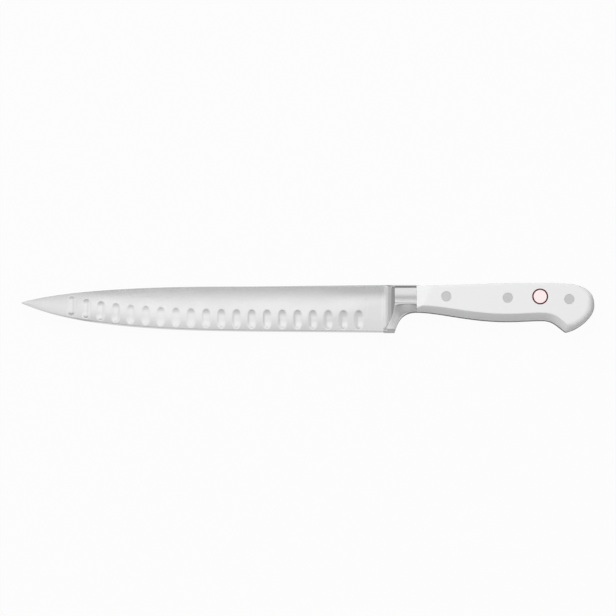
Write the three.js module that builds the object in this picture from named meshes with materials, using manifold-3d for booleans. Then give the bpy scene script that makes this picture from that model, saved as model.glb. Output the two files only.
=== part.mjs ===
// A forged ham knife with a hollow-ground edge, lying on its right side: the blade, bolster and full tang
// are one forging, held between two handle scales by three two-part rivets, with a blank badge disc.
// Millimetres. +X runs from the tip to the butt, +Y from the cutting edge to the spine, and +Z up through
// the thickness. Every piece is drawn from a datum on the mid-plane, where the top of the bolster meets the
// scales, and the last lines move the whole knife to its own frame.
import * as THREE from "three";
import { mergeVertices } from "three/addons/utils/BufferGeometryUtils.js";
import Module from "manifold-3d";

// Blade
const BLADE_LENGTH = 230; // tip to the bolster's front edge
const BLADE_HEIGHT = 29; // top of the bolster down to the cutting edge, at the heel
const SPINE_THICKNESS = 2.6; // at the bolster
const TIP_THICKNESS = 1.3; // of the spine, towards the tip
const TIP_WEDGE = 0.08; // half thickness that the narrowing tip keeps for each unit of its height
const TIP_DROP = 10.7; // top of the bolster down to the tip
const TIP_FLAT = 0.4; // height of the blunted tip
const SPINE_FALL = 1; // fall of the spine's straight run towards the tip
const SPINE_CURVE = 120; // length of the spine's curved run
const SPINE_TIP_ANGLE = 17.6; // degrees that the spine rises from the tip
const EDGE_RISE = 0.75; // rise of the cutting edge's straight run towards the tip
const EDGE_CURVE = 128.5; // length of the cutting edge's curved run
const EDGE_TIP_ANGLE = 27.7; // degrees that the cutting edge falls from the tip
const EDGE_BEVEL = 0.9; // height of the ground edge
const EDGE_SHOULDER = 0.5; // steel thickness at the top of the ground edge
const EDGE_THICKNESS = 0.12; // of the blunt line where the two bevels meet
const GRIND_CROWN = 2; // 1 is a flat wedge, more is a side that bulges
const SPINE_EASE = 0.3; // chamfer along the spine

// Hollows ground into both sides above the edge, staggered by half a pitch from side to side
const HOLLOW_PITCH = 9.42; // along the cutting edge
const HOLLOW_START = 22.2; // bolster's front edge to the first hollow on the left side
const HOLLOW_LENGTH = 12.2; // across the blade
const HOLLOW_WIDTH = 6.2; // along the blade
const HOLLOW_DEPTH = 0.24;
const HOLLOW_MARGIN = 1.6; // cutting edge to the lower end of a hollow
const HOLLOW_LEAN = 0.25; // 0 keeps a hollow upright, 1 turns it square to the cutting edge
const HOLLOW_TIP_CLEAR = 28; // least length of blade left plain at the tip

// Bolster
const BOLSTER_LENGTH = 13.5; // front edge to the scales
const BOLSTER_THICKNESS = 15; // along its back
const BOLSTER_HEIGHT = 16.9; // at the scales
const BLEND_LENGTH = 8; // concave sweep from the blade's side up to the bolster's front edge
const TAPER_DROP = 11.3; // top of the bolster down to where its sides start to thin
const HEEL_STEP = 0.4; // heel below the cutting edge
const HEEL_LENGTH = 6.5; // unsharpened flat under the heel
const HEEL_THICKNESS = 3.8;
const HEEL_LEAN = 16.7; // degrees that the heel's rear leans towards the handle

// Handle outline, shared by the tang and the scales
const HANDLE_LENGTH = 109.6; // bolster to butt
const CREST_INSET = 44; // butt to the highest point of the back
const CREST_RISE = 1.55; // above the top of the bolster
const BUTT_DROP = 12.4; // top of the bolster down to the rearmost point
const HOOK_INSET = 18; // butt to the tip of the hook
const HOOK_LIFT = 0.2; // tip of the hook above the level of the heel
const HOOK_HEEL_ANGLE = 5.3; // degrees, heading of the outline into the hook's tip
const HOOK_RISE_ANGLE = 35; // degrees, heading of the outline out of it
const WAIST_INSET = 32.2; // butt to the waist ahead of the hook
const WAIST_DROP = 22.05;
const BELLY_INSET = 53.8; // butt to the lowest point of the belly
const BELLY_DROP = 22.7;

// Tang and scales
const TANG_THICKNESS = 3;
const TANG_ROOT = 3; // depth of the tang's root inside the bolster
const SCALE_THICKNESS = 8.2;
const TOP_EASE = 1.1; // rounding along the back of the handle and bolster
const BEVEL_HEIGHT = 5.1; // lower bevel, seen from the side
const SCALE_LIP = 1; // scale's thickness at the foot of the lower bevel
const BEVEL_BULGE = 0.15; // 0 is a flat bevel, 1 a quarter round
const BEVEL_LAG = 3; // 1 changes one bevel into the next evenly, more leaves the change to the end
const BUTT_BEVEL_WIDTH = 4.6; // rounding of the butt, seen from the side
const BUTT_BEVEL_DEPTH = 4.6; // rounding of the butt, across the thickness
const RAMP_LENGTH = 9.2; // length of the ramp down to the bolster, along the back
const RAMP_SLANT = 0.48; // length that the ramp loses for each unit below the back

// Rivets and badge
const RIVET_FRONT = 18.3; // bolster to the front rivet
const RIVET_REAR_INSET = 15.6; // butt to the rear rivet
const RIVET_FRONT_DROP = 6.7; // top of the bolster down to the front rivet
const RIVET_REAR_DROP = 8.4;
const RIVET_HEAD_DIAMETER = 6.1;
const RIVET_HEAD_HEIGHT = 1.8;
const RIVET_SLEEVE_DIAMETER = 4;
const RIVET_PIN_DIAMETER = 2.5;
const SLEEVE_OVERLAP = 2.5; // reach of the tubular half past the mid-plane
const PIN_SHORTFALL = 0.6; // room left beyond the pin in its sleeve
const BADGE_DIAMETER = 9.8;
const BADGE_THICKNESS = 1.2;
const BADGE_SHIFT = 1; // rearwards from midway between the middle and rear rivets
const BADGE_DROP = 6.8; // top of the bolster down to the badge

// Clearances
const SEAT_GAP = 0.05; // between faces that are clamped together
const BORE_GAP = 0.1; // round a rivet or the badge, on the radius

// Handles of the outline's curves, as shares of the distance that a curve spans
const SHORT_PULL = 0.25;
const EVEN_PULL = 0.34;
const LONG_PULL = 0.42;
const FINGER_PULL = 0.51;
const BUTT_PULL = 0.57;

// Fineness
const BLADE_STATIONS = 26;
const BLEND_STATIONS = 9;
const BOLSTER_STATIONS = 12;
const BEVEL_STEPS = 4;
const TANG_STEPS = 12; // on each stretch of the tang's outline
const STATION_CROWDING = 1.5; // 1 spaces stations evenly, more crowds them at one end
const BOWL_RINGS = [0, 0.55, 1, 1.25]; // radii of a hollow's cutter, as shares of the hollow's own
const ROUND_SIDES = 28;
const HOLLOW_SIDES = 14;
const CURVE_SAMPLES = 80;
const MERGE_DISTANCE = 1e-3;

const { lerp, clamp, degToRad, radToDeg } = THREE.MathUtils;
const wasm = await Module();
wasm.setup();

// Solids

// A closed geometry as a solid that can be joined and cut
function solidOf(geometry) {
  const bare = new THREE.BufferGeometry();
  bare.setAttribute("position", geometry.getAttribute("position"));
  bare.setIndex(geometry.getIndex());
  const merged = mergeVertices(bare, MERGE_DISTANCE);
  const corners = merged.getIndex().array;
  const triangles = [];
  for (let i = 0; i < corners.length; i += 3) {
    const [a, b, c] = corners.subarray(i, i + 3);
    if (a !== b && b !== c && c !== a) triangles.push(a, b, c);
  }
  const vertProperties = merged.getAttribute("position").array;
  const triVerts = Uint32Array.from(triangles);
  return new wasm.Manifold(new wasm.Mesh({ numProp: 3, vertProperties, triVerts }));
}

// A solid as a geometry that a mesh can show
function geometryOf(solid) {
  const { vertProperties, triVerts } = solid.getMesh();
  const geometry = new THREE.BufferGeometry();
  geometry.setAttribute("position", new THREE.BufferAttribute(vertProperties, 3));
  geometry.setIndex(new THREE.BufferAttribute(triVerts, 1));
  geometry.computeVertexNormals();
  return geometry;
}

// Corner triples of a flat cap over a ring of points in a plane, turning left
function flatCap(ring) {
  const triples = THREE.ShapeUtils.triangulateShape(ring, []);
  const areas = triples.map((corners) => THREE.ShapeUtils.area(corners.map((i) => ring[i])));
  const turnsLeft = areas.reduce((sum, area) => sum + area) > 0;
  return turnsLeft ? triples : triples.map(([a, b, c]) => [a, c, b]);
}

// Corner triples of a cap over a ring whose second half mirrors its first, as the rungs of a ladder
function ladderCap(count) {
  const triples = [];
  for (let j = 0; j + 1 < count / 2; j++) {
    const far = count - 1 - j;
    triples.push([j, far, far - 1], [j, far - 1, j + 1]);
  }
  return triples;
}

// A closed skin over rings of points that run clockwise, seen from the last ring's side, with a cap on each
// end whose corners turn left from that side
function skinOf(rings, firstCap, lastCap) {
  const count = rings[0].length;
  const last = (rings.length - 1) * count;
  const corners = [];
  for (let i = 0; i < last; i += count) {
    for (let j = 0; j < count; j++) {
      const a = i + j;
      const b = i + ((j + 1) % count);
      corners.push(a, a + count, b + count, a, b + count, b);
    }
  }
  for (const [a, b, c] of firstCap) corners.push(a, c, b);
  for (const [a, b, c] of lastCap) corners.push(last + a, last + b, last + c);
  return new THREE.BufferGeometry().setFromPoints(rings.flat()).setIndex(corners);
}

// A round post along Z, for cutting holes and pockets
function post(radius, low, high) {
  const geometry = new THREE.CylinderGeometry(radius, radius, high - low, ROUND_SIDES);
  return geometry.rotateX(Math.PI / 2).translate(0, 0, (low + high) / 2);
}

// Curves

const at = (x, y) => new THREE.Vector2(x, y);
const heading = (degrees, length) => at(length, 0).rotateAround(at(0, 0), degToRad(degrees));

// A cubic curve that leaves one point and arrives at the other along the given headings, in degrees
function sweep(from, leave, to, arrive, leavePull, arrivePull = leavePull) {
  const span = from.distanceTo(to);
  const first = from.clone().add(heading(leave, leavePull * span));
  const second = to.clone().sub(heading(arrive, arrivePull * span));
  return new THREE.CubicBezierCurve(from, first, second, to);
}

// Height, at a given x, of a line of points whose x only rises
function heightOn(points, x) {
  const next = clamp(
    points.findIndex((p) => p.x >= x),
    1,
    points.length - 1,
  );
  const [a, b] = [points[next - 1], points[next]];
  return lerp(a.y, b.y, clamp((x - a.x) / (b.x - a.x), 0, 1));
}

const creaseX = -BOLSTER_LENGTH;
const blendX = creaseX - BLEND_LENGTH;
const heelX = creaseX - HEEL_LENGTH;
const tipX = creaseX - BLADE_LENGTH;
const heelDrop = BLADE_HEIGHT + HEEL_STEP;
const hookDrop = heelDrop - HOOK_LIFT;

const spineTip = at(tipX, -TIP_DROP + TIP_FLAT / 2);
const spineTurn = at(tipX + SPINE_CURVE, -SPINE_FALL);
const spineEnd = at(creaseX, 0);
const spineSlope = radToDeg(spineEnd.clone().sub(spineTurn).angle());
const spineCurve = sweep(spineTip, SPINE_TIP_ANGLE, spineTurn, spineSlope, SHORT_PULL);
const spinePoints = [...spineCurve.getPoints(CURVE_SAMPLES), spineEnd];

// The cutting edge runs from the heel to the tip, the way that the hollows are counted
const edgeTip = at(tipX, -TIP_DROP - TIP_FLAT / 2);
const edgeTurn = at(tipX + EDGE_CURVE, EDGE_RISE - BLADE_HEIGHT);
const edgeHeel = at(heelX, -BLADE_HEIGHT);
const edgeSlope = radToDeg(edgeTurn.clone().sub(edgeHeel).angle());
const edge = new THREE.CurvePath();
edge.add(new THREE.LineCurve(edgeHeel, edgeTurn));
edge.add(sweep(edgeTurn, edgeSlope, edgeTip, 180 - EDGE_TIP_ANGLE, SHORT_PULL));
const edgePoints = edge.getPoints(CURVE_SAMPLES).reverse();

// The finger curve under the bolster, from the heel up to the scales
const fingerCurve = sweep(
  at(creaseX, -heelDrop),
  90 - HEEL_LEAN,
  at(0, -BOLSTER_HEIGHT),
  0,
  EVEN_PULL,
  FINGER_PULL,
);
const fingerPoints = fingerCurve.getPoints(CURVE_SAMPLES);

// Stretches of the handle's outline, clockwise from the top of the bolster
const crest = at(HANDLE_LENGTH - CREST_INSET, CREST_RISE);
const butt = at(HANDLE_LENGTH, -BUTT_DROP);
const hook = at(HANDLE_LENGTH - HOOK_INSET, -hookDrop);
const waist = at(HANDLE_LENGTH - WAIST_INSET, -WAIST_DROP);
const belly = at(HANDLE_LENGTH - BELLY_INSET, -BELLY_DROP);
const back = sweep(at(0, 0), 0, crest, 0, EVEN_PULL);
const buttTop = sweep(crest, 0, butt, -90, BUTT_PULL, EVEN_PULL);
const buttLow = sweep(butt, -90, hook, 180 + HOOK_HEEL_ANGLE, EVEN_PULL, SHORT_PULL);
const hookRise = sweep(hook, 180 - HOOK_RISE_ANGLE, waist, 180, LONG_PULL);
const bellyRear = sweep(waist, 180, belly, 180, EVEN_PULL);
const bellyFront = sweep(belly, 180, at(0, -BOLSTER_HEIGHT), 180, LONG_PULL, SHORT_PULL);

// Forging

const faceZ = TANG_THICKNESS / 2 + SCALE_THICKNESS; // outer face of a scale, from the mid-plane
const bolsterHalf = BOLSTER_THICKNESS / 2;
const bevelBase = TANG_THICKNESS / 2 + SCALE_LIP; // half thickness of the handle's underside
const bevelSlope = (faceZ - bevelBase) / BEVEL_HEIGHT;
const rampSlope = (faceZ - bolsterHalf) / RAMP_LENGTH;

// Height of the scales' ramp above the mid-plane. The bolster's sides carry on from its lower end.
function rampZ(x, y) {
  return faceZ - rampSlope * (RAMP_LENGTH + RAMP_SLANT * y - x);
}

// Half thickness of the bolster's side, before it thins down to the heel
function sideHalf(y) {
  return Math.min(rampZ(0, Math.max(y, -TAPER_DROP)), faceZ);
}

// Spine, edge and half thicknesses of the blade at one station along it. All of them shrink with the height
// of the blade towards the tip.
function bladeStation(x) {
  const spine = heightOn(spinePoints, x);
  const cutting = x < heelX ? heightOn(edgePoints, x) : -heelDrop;
  const height = spine - cutting;
  const along = clamp((creaseX - x) / BLADE_LENGTH, 0, 1);
  const spineHalf = Math.min(lerp(SPINE_THICKNESS, TIP_THICKNESS, along) / 2, TIP_WEDGE * height);
  const shoulderHalf = Math.min(EDGE_SHOULDER / 2, spineHalf / 2);
  const edgeHalf = Math.min(EDGE_THICKNESS / 2, shoulderHalf / 2);
  const shoulder = cutting + Math.min(EDGE_BEVEL, height / 4);
  return { spine, cutting, height, spineHalf, shoulderHalf, edgeHalf, shoulder };
}

// Half thickness of the blade at a point of its side
function bladeHalf(x, y) {
  const { spine, cutting, shoulder, spineHalf, shoulderHalf, edgeHalf } = bladeStation(x);
  if (y < shoulder) return lerp(edgeHalf, shoulderHalf, (y - cutting) / (shoulder - cutting));
  const rise = clamp((y - shoulder) / (spine - shoulder), 0, 1);
  return lerp(shoulderHalf, spineHalf, 1 - (1 - rise) ** GRIND_CROWN);
}

// Share of the way from the blade's side to the bolster's, along the arc of the concave sweep
function blendShare(x) {
  const rise = bolsterHalf - SPINE_THICKNESS / 2;
  const radius = (BLEND_LENGTH ** 2 + rise ** 2) / (2 * rise);
  const run = clamp(x - blendX, 0, BLEND_LENGTH);
  return (radius - Math.sqrt(radius ** 2 - run ** 2)) / rise;
}

// Half thickness of the bolster: flat sides that thin down to the heel, and a bevel along the finger curve
function bolsterHalfAt(x, y) {
  const down = clamp((-TAPER_DROP - y) / (heelDrop - TAPER_DROP), 0, 1);
  const tapered = lerp(HEEL_THICKNESS / 2, sideHalf(y), (1 - down) ** 2);
  const fromFinger = Math.min(...fingerPoints.map((p) => Math.hypot(p.x - x, p.y - y)));
  return Math.min(tapered, bevelBase + bevelSlope * fromFinger);
}

// Heights of a section's points, from its lower rim past its waist to its upper rim
function sectionHeights(low, lowEase, waistHeight, high, highEase) {
  const foot = low + lowEase;
  const shoulder = high - highEase;
  return [
    low,
    foot,
    lerp(foot, waistHeight, 1 / 4),
    lerp(foot, waistHeight, 2 / 4),
    lerp(foot, waistHeight, 3 / 4),
    waistHeight,
    lerp(waistHeight, shoulder, 1 / 2),
    shoulder,
    high,
  ];
}

// Half of a section through the blade or its sweep into the bolster
function bladeSection(x) {
  const { spine, cutting, height, shoulder } = bladeStation(x);
  const share = blendShare(x);
  const ease = Math.min(lerp(SPINE_EASE, TOP_EASE, share), TIP_WEDGE * height);
  const waistHeight = lerp(cutting, spine, 1 - TAPER_DROP / heelDrop);
  return sectionHeights(cutting, shoulder - cutting, waistHeight, spine, ease).map((y) => {
    const swept = lerp(bladeHalf(x, y), sideHalf(y), share);
    const half = Math.min(swept, bolsterHalfAt(x, y));
    return new THREE.Vector3(x, y, y < spine ? half : half - ease / 2);
  });
}

// Half of a section through the bolster, leaning from the finger curve to the back
function bolsterSection(share) {
  const foot = fingerCurve.getPoint(share);
  const topX = lerp(creaseX, 0, share);
  return sectionHeights(foot.y, TOP_EASE, -TAPER_DROP, 0, TOP_EASE).map((y) => {
    const x = lerp(foot.x, topX, (y - foot.y) / -foot.y);
    const half = bolsterHalfAt(x, y);
    return new THREE.Vector3(x, y, y < 0 ? half : half - TOP_EASE);
  });
}

// One cutter for a hollow: a shallow bowl, whose rim is as long and wide as the hollow
function hollowCutter() {
  const bowl = BOWL_RINGS.map((r) => at(r, HOLLOW_DEPTH * (r ** 2 - 1)));
  const lid = at(0, bowl.at(-1).y);
  const geometry = new THREE.LatheGeometry([...bowl, lid], HOLLOW_SIDES).rotateX(Math.PI / 2);
  return geometry.scale(HOLLOW_WIDTH / 2, HOLLOW_LENGTH / 2, 1);
}

// The cutter set on the blade's side, above the cutting edge; side is 1 on the left and -1 on the right
function placedHollow(distance, side) {
  const share = (distance - HEEL_LENGTH) / edge.getLength();
  const along = edge.getTangent(share).negate();
  const inward = at(-along.y, along.x);
  const { x, y } = edge.getPoint(share).addScaledVector(inward, HOLLOW_MARGIN + HOLLOW_LENGTH / 2);
  const [dx, dy] = [HOLLOW_WIDTH / 2, HOLLOW_LENGTH / 2];
  const slopeX = (bladeHalf(x + dx, y) - bladeHalf(x - dx, y)) / (2 * dx);
  const slopeY = (bladeHalf(x, y + dy) - bladeHalf(x, y - dy)) / (2 * dy);
  const out = new THREE.Vector3(-slopeX, -slopeY, side).normalize();
  const lean = heading(HOLLOW_LEAN * radToDeg(Math.atan2(along.y, along.x)), 1);
  const across = out.clone().cross(new THREE.Vector3(lean.x, lean.y, 0)).normalize();
  const placing = new THREE.Matrix4().makeBasis(across.clone().cross(out), across, out);
  placing.setPosition(x, y, side * bladeHalf(x, y));
  return solidOf(hollowCutter().applyMatrix4(placing));
}

// The tang's plate, rooted in the bolster
function tangPlate() {
  const shape = new THREE.Shape();
  shape.moveTo(0, 0);
  for (const { v1, v2, v3 } of [back, buttTop, buttLow, hookRise, bellyRear, bellyFront]) {
    shape.bezierCurveTo(v1.x, v1.y, v2.x, v2.y, v3.x, v3.y);
  }
  shape.lineTo(-TANG_ROOT, TANG_ROOT / 2 - BOLSTER_HEIGHT);
  shape.lineTo(-TANG_ROOT, -TANG_ROOT / 2);
  const options = { depth: TANG_THICKNESS, bevelEnabled: false, curveSegments: TANG_STEPS };
  return new THREE.ExtrudeGeometry(shape, options).translate(0, 0, -TANG_THICKNESS / 2);
}

function forging() {
  const halves = [];
  for (let i = 0; i < BLADE_STATIONS; i++) {
    halves.push(bladeSection(lerp(tipX, blendX, (i / BLADE_STATIONS) ** STATION_CROWDING)));
  }
  for (let i = 0; i < BLEND_STATIONS; i++) {
    const left = (1 - i / BLEND_STATIONS) ** STATION_CROWDING;
    halves.push(bladeSection(lerp(creaseX, blendX, left)));
  }
  for (let i = 0; i <= BOLSTER_STATIONS; i++) {
    halves.push(bolsterSection(i / BOLSTER_STATIONS));
  }
  const rings = halves.map((half) => {
    const farSide = half.map((p) => new THREE.Vector3(p.x, p.y, -p.z)).reverse();
    return [...half, ...farSide];
  });
  const cap = ladderCap(rings[0].length);
  const blank = solidOf(skinOf(rings, cap, cap));
  let solid = blank.add(solidOf(tangPlate()));
  for (const place of rivetPlaces()) {
    const hole = post(RIVET_SLEEVE_DIAMETER / 2 + BORE_GAP, -TANG_THICKNESS, TANG_THICKNESS);
    solid = solid.subtract(solidOf(hole.translate(place.x, place.y, 0)));
  }
  const lastHollow = BLADE_LENGTH - HOLLOW_TIP_CLEAR;
  for (let distance = HOLLOW_START; distance <= lastHollow; distance += HOLLOW_PITCH) {
    solid = solid.subtract(placedHollow(distance, 1));
    solid = solid.subtract(placedHollow(distance - HOLLOW_PITCH / 2, -1));
  }
  return geometryOf(solid);
}

// Scales

function rivetPlaces() {
  const front = at(RIVET_FRONT, -RIVET_FRONT_DROP);
  const rear = at(HANDLE_LENGTH - RIVET_REAR_INSET, -RIVET_REAR_DROP);
  return [front, front.clone().lerp(rear, 0.5), rear];
}

function badgePlace() {
  const [, middle, rear] = rivetPlaces();
  return at((middle.x + rear.x) / 2 + BADGE_SHIFT, -BADGE_DROP);
}

// Points round a scale's rim, each with its inward direction and the bevel that it carries
function rimPoints() {
  const topRim = { width: TOP_EASE, depth: TOP_EASE, bulge: 1 };
  const buttRim = { width: BUTT_BEVEL_WIDTH, depth: BUTT_BEVEL_DEPTH, bulge: 1 };
  const lowRim = { width: BEVEL_HEIGHT, depth: faceZ - bevelBase, bulge: BEVEL_BULGE };
  const stretches = [
    { curve: back, steps: 9, from: topRim, to: topRim },
    { curve: buttTop, steps: 18, from: topRim, to: buttRim },
    { curve: buttLow, steps: 7, from: buttRim, to: lowRim },
    { curve: hookRise, steps: 6, from: lowRim, to: lowRim },
    { curve: bellyRear, steps: 5, from: lowRim, to: lowRim },
    { curve: bellyFront, steps: 10, from: lowRim, to: lowRim },
  ];
  const points = [];
  for (const { curve, steps, from, to } of stretches) {
    for (let i = 0; i < steps; i++) {
      const share = i / steps;
      const late = share ** BEVEL_LAG;
      const bevel = {};
      for (const size of Object.keys(from)) bevel[size] = lerp(from[size], to[size], late);
      points.push({ spot: curve.getPointAt(share), tangent: curve.getTangentAt(share), bevel });
    }
  }
  points.push({ spot: at(0, -BOLSTER_HEIGHT), tangent: at(-1, 0), bevel: lowRim });
  // The hook's tip turns both of its stretches, so its direction halves the corner
  const corner = points.find(({ spot }) => spot.equals(hook));
  const arriving = buttLow.getTangent(1);
  const halfTurn = arriving.angleTo(corner.tangent) / 2;
  corner.tangent.add(arriving).setLength(1 / Math.cos(halfTurn));
  return points.map(({ spot, tangent, bevel }) => ({ spot, inward: at(tangent.y, -tangent.x), bevel }));
}

// One ring of a scale's rim: rise goes from 0, at the foot of the bevel, to 1, at the outer face
function rimRing(points, rise) {
  const quarter = (rise * Math.PI) / 2;
  return points.map(({ spot, inward, bevel }) => {
    const inset = bevel.width * lerp(rise, 1 - Math.cos(quarter), bevel.bulge);
    const climb = bevel.depth * lerp(rise, Math.sin(quarter), bevel.bulge);
    const { x, y } = spot.clone().addScaledVector(inward, inset);
    return new THREE.Vector3(x + SEAT_GAP, y, faceZ - bevel.depth + climb);
  });
}

// Cutter for the ramp that brings a scale down to the bolster, wider and higher than the scale
function rampCutter() {
  const length = 4 * RAMP_LENGTH;
  const height = 2 * hookDrop;
  const geometry = new THREE.BoxGeometry(length, height, 2 * SCALE_THICKNESS);
  geometry.translate(0, 0, faceZ);
  const position = geometry.getAttribute("position");
  for (let i = 0; i < position.count; i++) {
    const [x, y, z] = [position.getX(i), position.getY(i), position.getZ(i)];
    if (z < faceZ) position.setZ(i, rampZ(x - SEAT_GAP, y));
  }
  return geometry;
}

function scale(withBadge) {
  const points = rimPoints();
  const floor = points.map(({ spot }) => {
    return new THREE.Vector3(spot.x + SEAT_GAP, spot.y, TANG_THICKNESS / 2 + SEAT_GAP);
  });
  const rings = [floor];
  for (let i = 0; i <= BEVEL_STEPS; i++) rings.push(rimRing(points, i / BEVEL_STEPS));
  const [firstCap, lastCap] = [floor, rings.at(-1)].map((ring) => flatCap(ring.map((p) => at(p.x, p.y))));
  let solid = solidOf(skinOf(rings, firstCap, lastCap)).subtract(solidOf(rampCutter()));
  const above = faceZ + SCALE_THICKNESS;
  for (const place of rivetPlaces()) {
    const hole = post(RIVET_SLEEVE_DIAMETER / 2 + BORE_GAP, 0, above);
    const seat = post(RIVET_HEAD_DIAMETER / 2 + BORE_GAP, faceZ - RIVET_HEAD_HEIGHT - SEAT_GAP, above);
    solid = solid.subtract(solidOf(hole.translate(place.x, place.y, 0)));
    solid = solid.subtract(solidOf(seat.translate(place.x, place.y, 0)));
  }
  if (withBadge) {
    const place = badgePlace();
    const pocket = post(BADGE_DIAMETER / 2 + BORE_GAP, faceZ - BADGE_THICKNESS - SEAT_GAP, above);
    solid = solid.subtract(solidOf(pocket.translate(place.x, place.y, 0)));
  }
  return geometryOf(solid);
}

// Rivets and badge

// A turned piece with its axis along Z, from its half outline as [radius, height] pairs
function turned(outline) {
  const points = outline.map(([radius, height]) => at(radius, height));
  return new THREE.LatheGeometry(points, ROUND_SIDES).rotateX(Math.PI / 2);
}

const headRadius = RIVET_HEAD_DIAMETER / 2;
const sleeveRadius = RIVET_SLEEVE_DIAMETER / 2;
const pinRadius = RIVET_PIN_DIAMETER / 2;
const seatZ = faceZ - RIVET_HEAD_HEIGHT; // underside of a head, from the mid-plane

// Tubular half, with its head on the left scale
function rivetSleeve() {
  return turned([
    [0, seatZ],
    [pinRadius + BORE_GAP, seatZ],
    [pinRadius + BORE_GAP, -SLEEVE_OVERLAP],
    [sleeveRadius, -SLEEVE_OVERLAP],
    [sleeveRadius, seatZ],
    [headRadius, seatZ],
    [headRadius, faceZ],
    [0, faceZ],
  ]);
}

// Solid half, with its head on the right scale
function rivetStud() {
  return turned([
    [0, -faceZ],
    [headRadius, -faceZ],
    [headRadius, -seatZ],
    [sleeveRadius, -seatZ],
    [sleeveRadius, -SLEEVE_OVERLAP - SEAT_GAP],
    [pinRadius, -SLEEVE_OVERLAP - SEAT_GAP],
    [pinRadius, seatZ - PIN_SHORTFALL],
    [0, seatZ - PIN_SHORTFALL],
  ]);
}

function badgeDisc() {
  return post(BADGE_DIAMETER / 2, faceZ - BADGE_THICKNESS, faceZ);
}

// Finishes

const satinSteel = new THREE.MeshStandardMaterial({ color: 0xc4c6c8, roughness: 0.35, metalness: 1 });
const rivetSteel = new THREE.MeshStandardMaterial({ color: 0xb6b8ba, roughness: 0.4, metalness: 1 });
const whiteScale = new THREE.MeshStandardMaterial({ color: 0xe9eaea, roughness: 0.45, metalness: 0 });
const paleBadge = new THREE.MeshStandardMaterial({ color: 0xe8d2d0, roughness: 0.4, metalness: 0 });

// Assembly

const knife = new THREE.Group();

function place(name, geometry, material, spot = at(0, 0)) {
  const mesh = new THREE.Mesh(geometry, material);
  mesh.name = name;
  mesh.position.set(spot.x, spot.y, 0);
  knife.add(mesh);
  return mesh;
}

place("forged_blade", forging(), satinSteel);
place("left_scale", scale(true), whiteScale);
place("right_scale", scale(false), whiteScale).scale.z = -1;
["front", "middle", "rear"].forEach((position, i) => {
  const spot = rivetPlaces()[i];
  place(position + "_rivet_sleeve", rivetSleeve(), rivetSteel, spot);
  place(position + "_rivet_stud", rivetStud(), rivetSteel, spot);
});
place("badge_disc", badgeDisc(), paleBadge, badgePlace());

// The part's frame: the knife lies on its right scale, with the middle of its box over the origin
const box = new THREE.Box3().setFromObject(knife);
const middle = box.getCenter(new THREE.Vector3());
knife.position.set(-middle.x, -middle.y, -box.min.z);

const part = new THREE.Group();
part.add(knife);
export default part;
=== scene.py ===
"""Looks of a forged ham knife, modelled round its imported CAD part.

Sizes are in millimetres from the knife's datum, on the mid-plane where the top of the bolster meets the
handle: +X runs to the butt, +Y to the spine and +Z to the left side. Datum.to_frame() carries a finished
mesh to metres in the part's frame. The studio's sizes are in metres.
"""

import logging
import math
from dataclasses import astuple, dataclass
from enum import Enum
from typing import Any, Sequence, Union

import bmesh
import bpy
import numpy as np
from bmesh.types import BMEdge, BMesh, BMFace, BMVert
from mathutils import Matrix, Vector
from mathutils.geometry import interpolate_bezier


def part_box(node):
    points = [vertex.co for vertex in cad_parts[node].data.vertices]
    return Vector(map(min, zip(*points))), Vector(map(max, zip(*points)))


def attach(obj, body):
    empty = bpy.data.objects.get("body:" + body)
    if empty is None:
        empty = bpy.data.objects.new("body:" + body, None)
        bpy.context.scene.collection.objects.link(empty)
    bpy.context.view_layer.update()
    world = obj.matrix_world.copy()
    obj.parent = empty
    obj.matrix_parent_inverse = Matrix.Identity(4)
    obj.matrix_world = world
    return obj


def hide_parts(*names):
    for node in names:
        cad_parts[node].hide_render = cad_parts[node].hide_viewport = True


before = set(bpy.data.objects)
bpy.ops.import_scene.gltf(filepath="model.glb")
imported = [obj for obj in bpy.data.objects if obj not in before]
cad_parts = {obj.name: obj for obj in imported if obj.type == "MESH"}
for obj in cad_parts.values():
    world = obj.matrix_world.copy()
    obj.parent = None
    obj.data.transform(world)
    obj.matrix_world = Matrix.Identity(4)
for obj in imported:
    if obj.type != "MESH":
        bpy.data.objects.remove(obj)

LOG = logging.getLogger("ham_knife")
BODY = "root"
MM = 0.001
WELD = 1e-4
TINY = 1e-6
ROUND_SIDES = 64
FINE_DETAIL = 3.0
Array = np.ndarray
Span = tuple[float, float]
Triple = tuple[float, float, float]
Colour = tuple[float, float, float, float]


class Side(Enum):
    """The knife's two sides, with the way that each of them faces along Z."""

    LEFT = 1
    RIGHT = -1


class Slot(Enum):
    """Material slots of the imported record."""

    BLADE = "blade_steel"
    SCALE = "white_scale"
    RIVET = "rivet_steel"
    BADGE = "badge_inlay"


class Mark(Enum):
    """Numbers that the forging's vertices carry for its steel."""

    HOLLOW = "hollow"
    EDGE = "edge"
    BEVELLED = "bevelled"
    # Painted shade: how far the steel is darkened to stand in for shade and dark reflections
    BARE = "bare"


class RivetHalf(Enum):
    """The two halves of a cutler's rivet."""

    SLEEVE = "sleeve"
    STUD = "stud"


class Reach(Enum):
    """The surfaces that a lamp lights: whether matt ones, and whether shiny ones."""

    ALL = (True, True)
    MATT = (True, False)
    SHINY = (False, True)


def grey(level: float) -> Colour:
    """Returns a neutral colour of that linear level."""
    return (level, level, level, 1.0)


def grey_pair(level: float, spread: float) -> tuple[Colour, Colour]:
    """Returns a darker and a lighter grey, a share either side of a level."""
    return grey(level * (1.0 - spread)), grey(level * (1.0 + spread))


def lerp(start: Any, end: Any, share: Any) -> Any:
    """Returns the value that lies that share of the way from start to end."""
    return start + (end - start) * share


def even_shares(count: int) -> Array:
    """Returns that many even steps up to 1, without the 0 that they start from."""
    return np.arange(1, count + 1) / count


def smooth_step(share: Any) -> Any:
    """Returns a share of 0 to 1, eased at both of its ends."""
    held = np.clip(share, 0.0, 1.0)
    return held * held * (3.0 - 2.0 * held)


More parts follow.
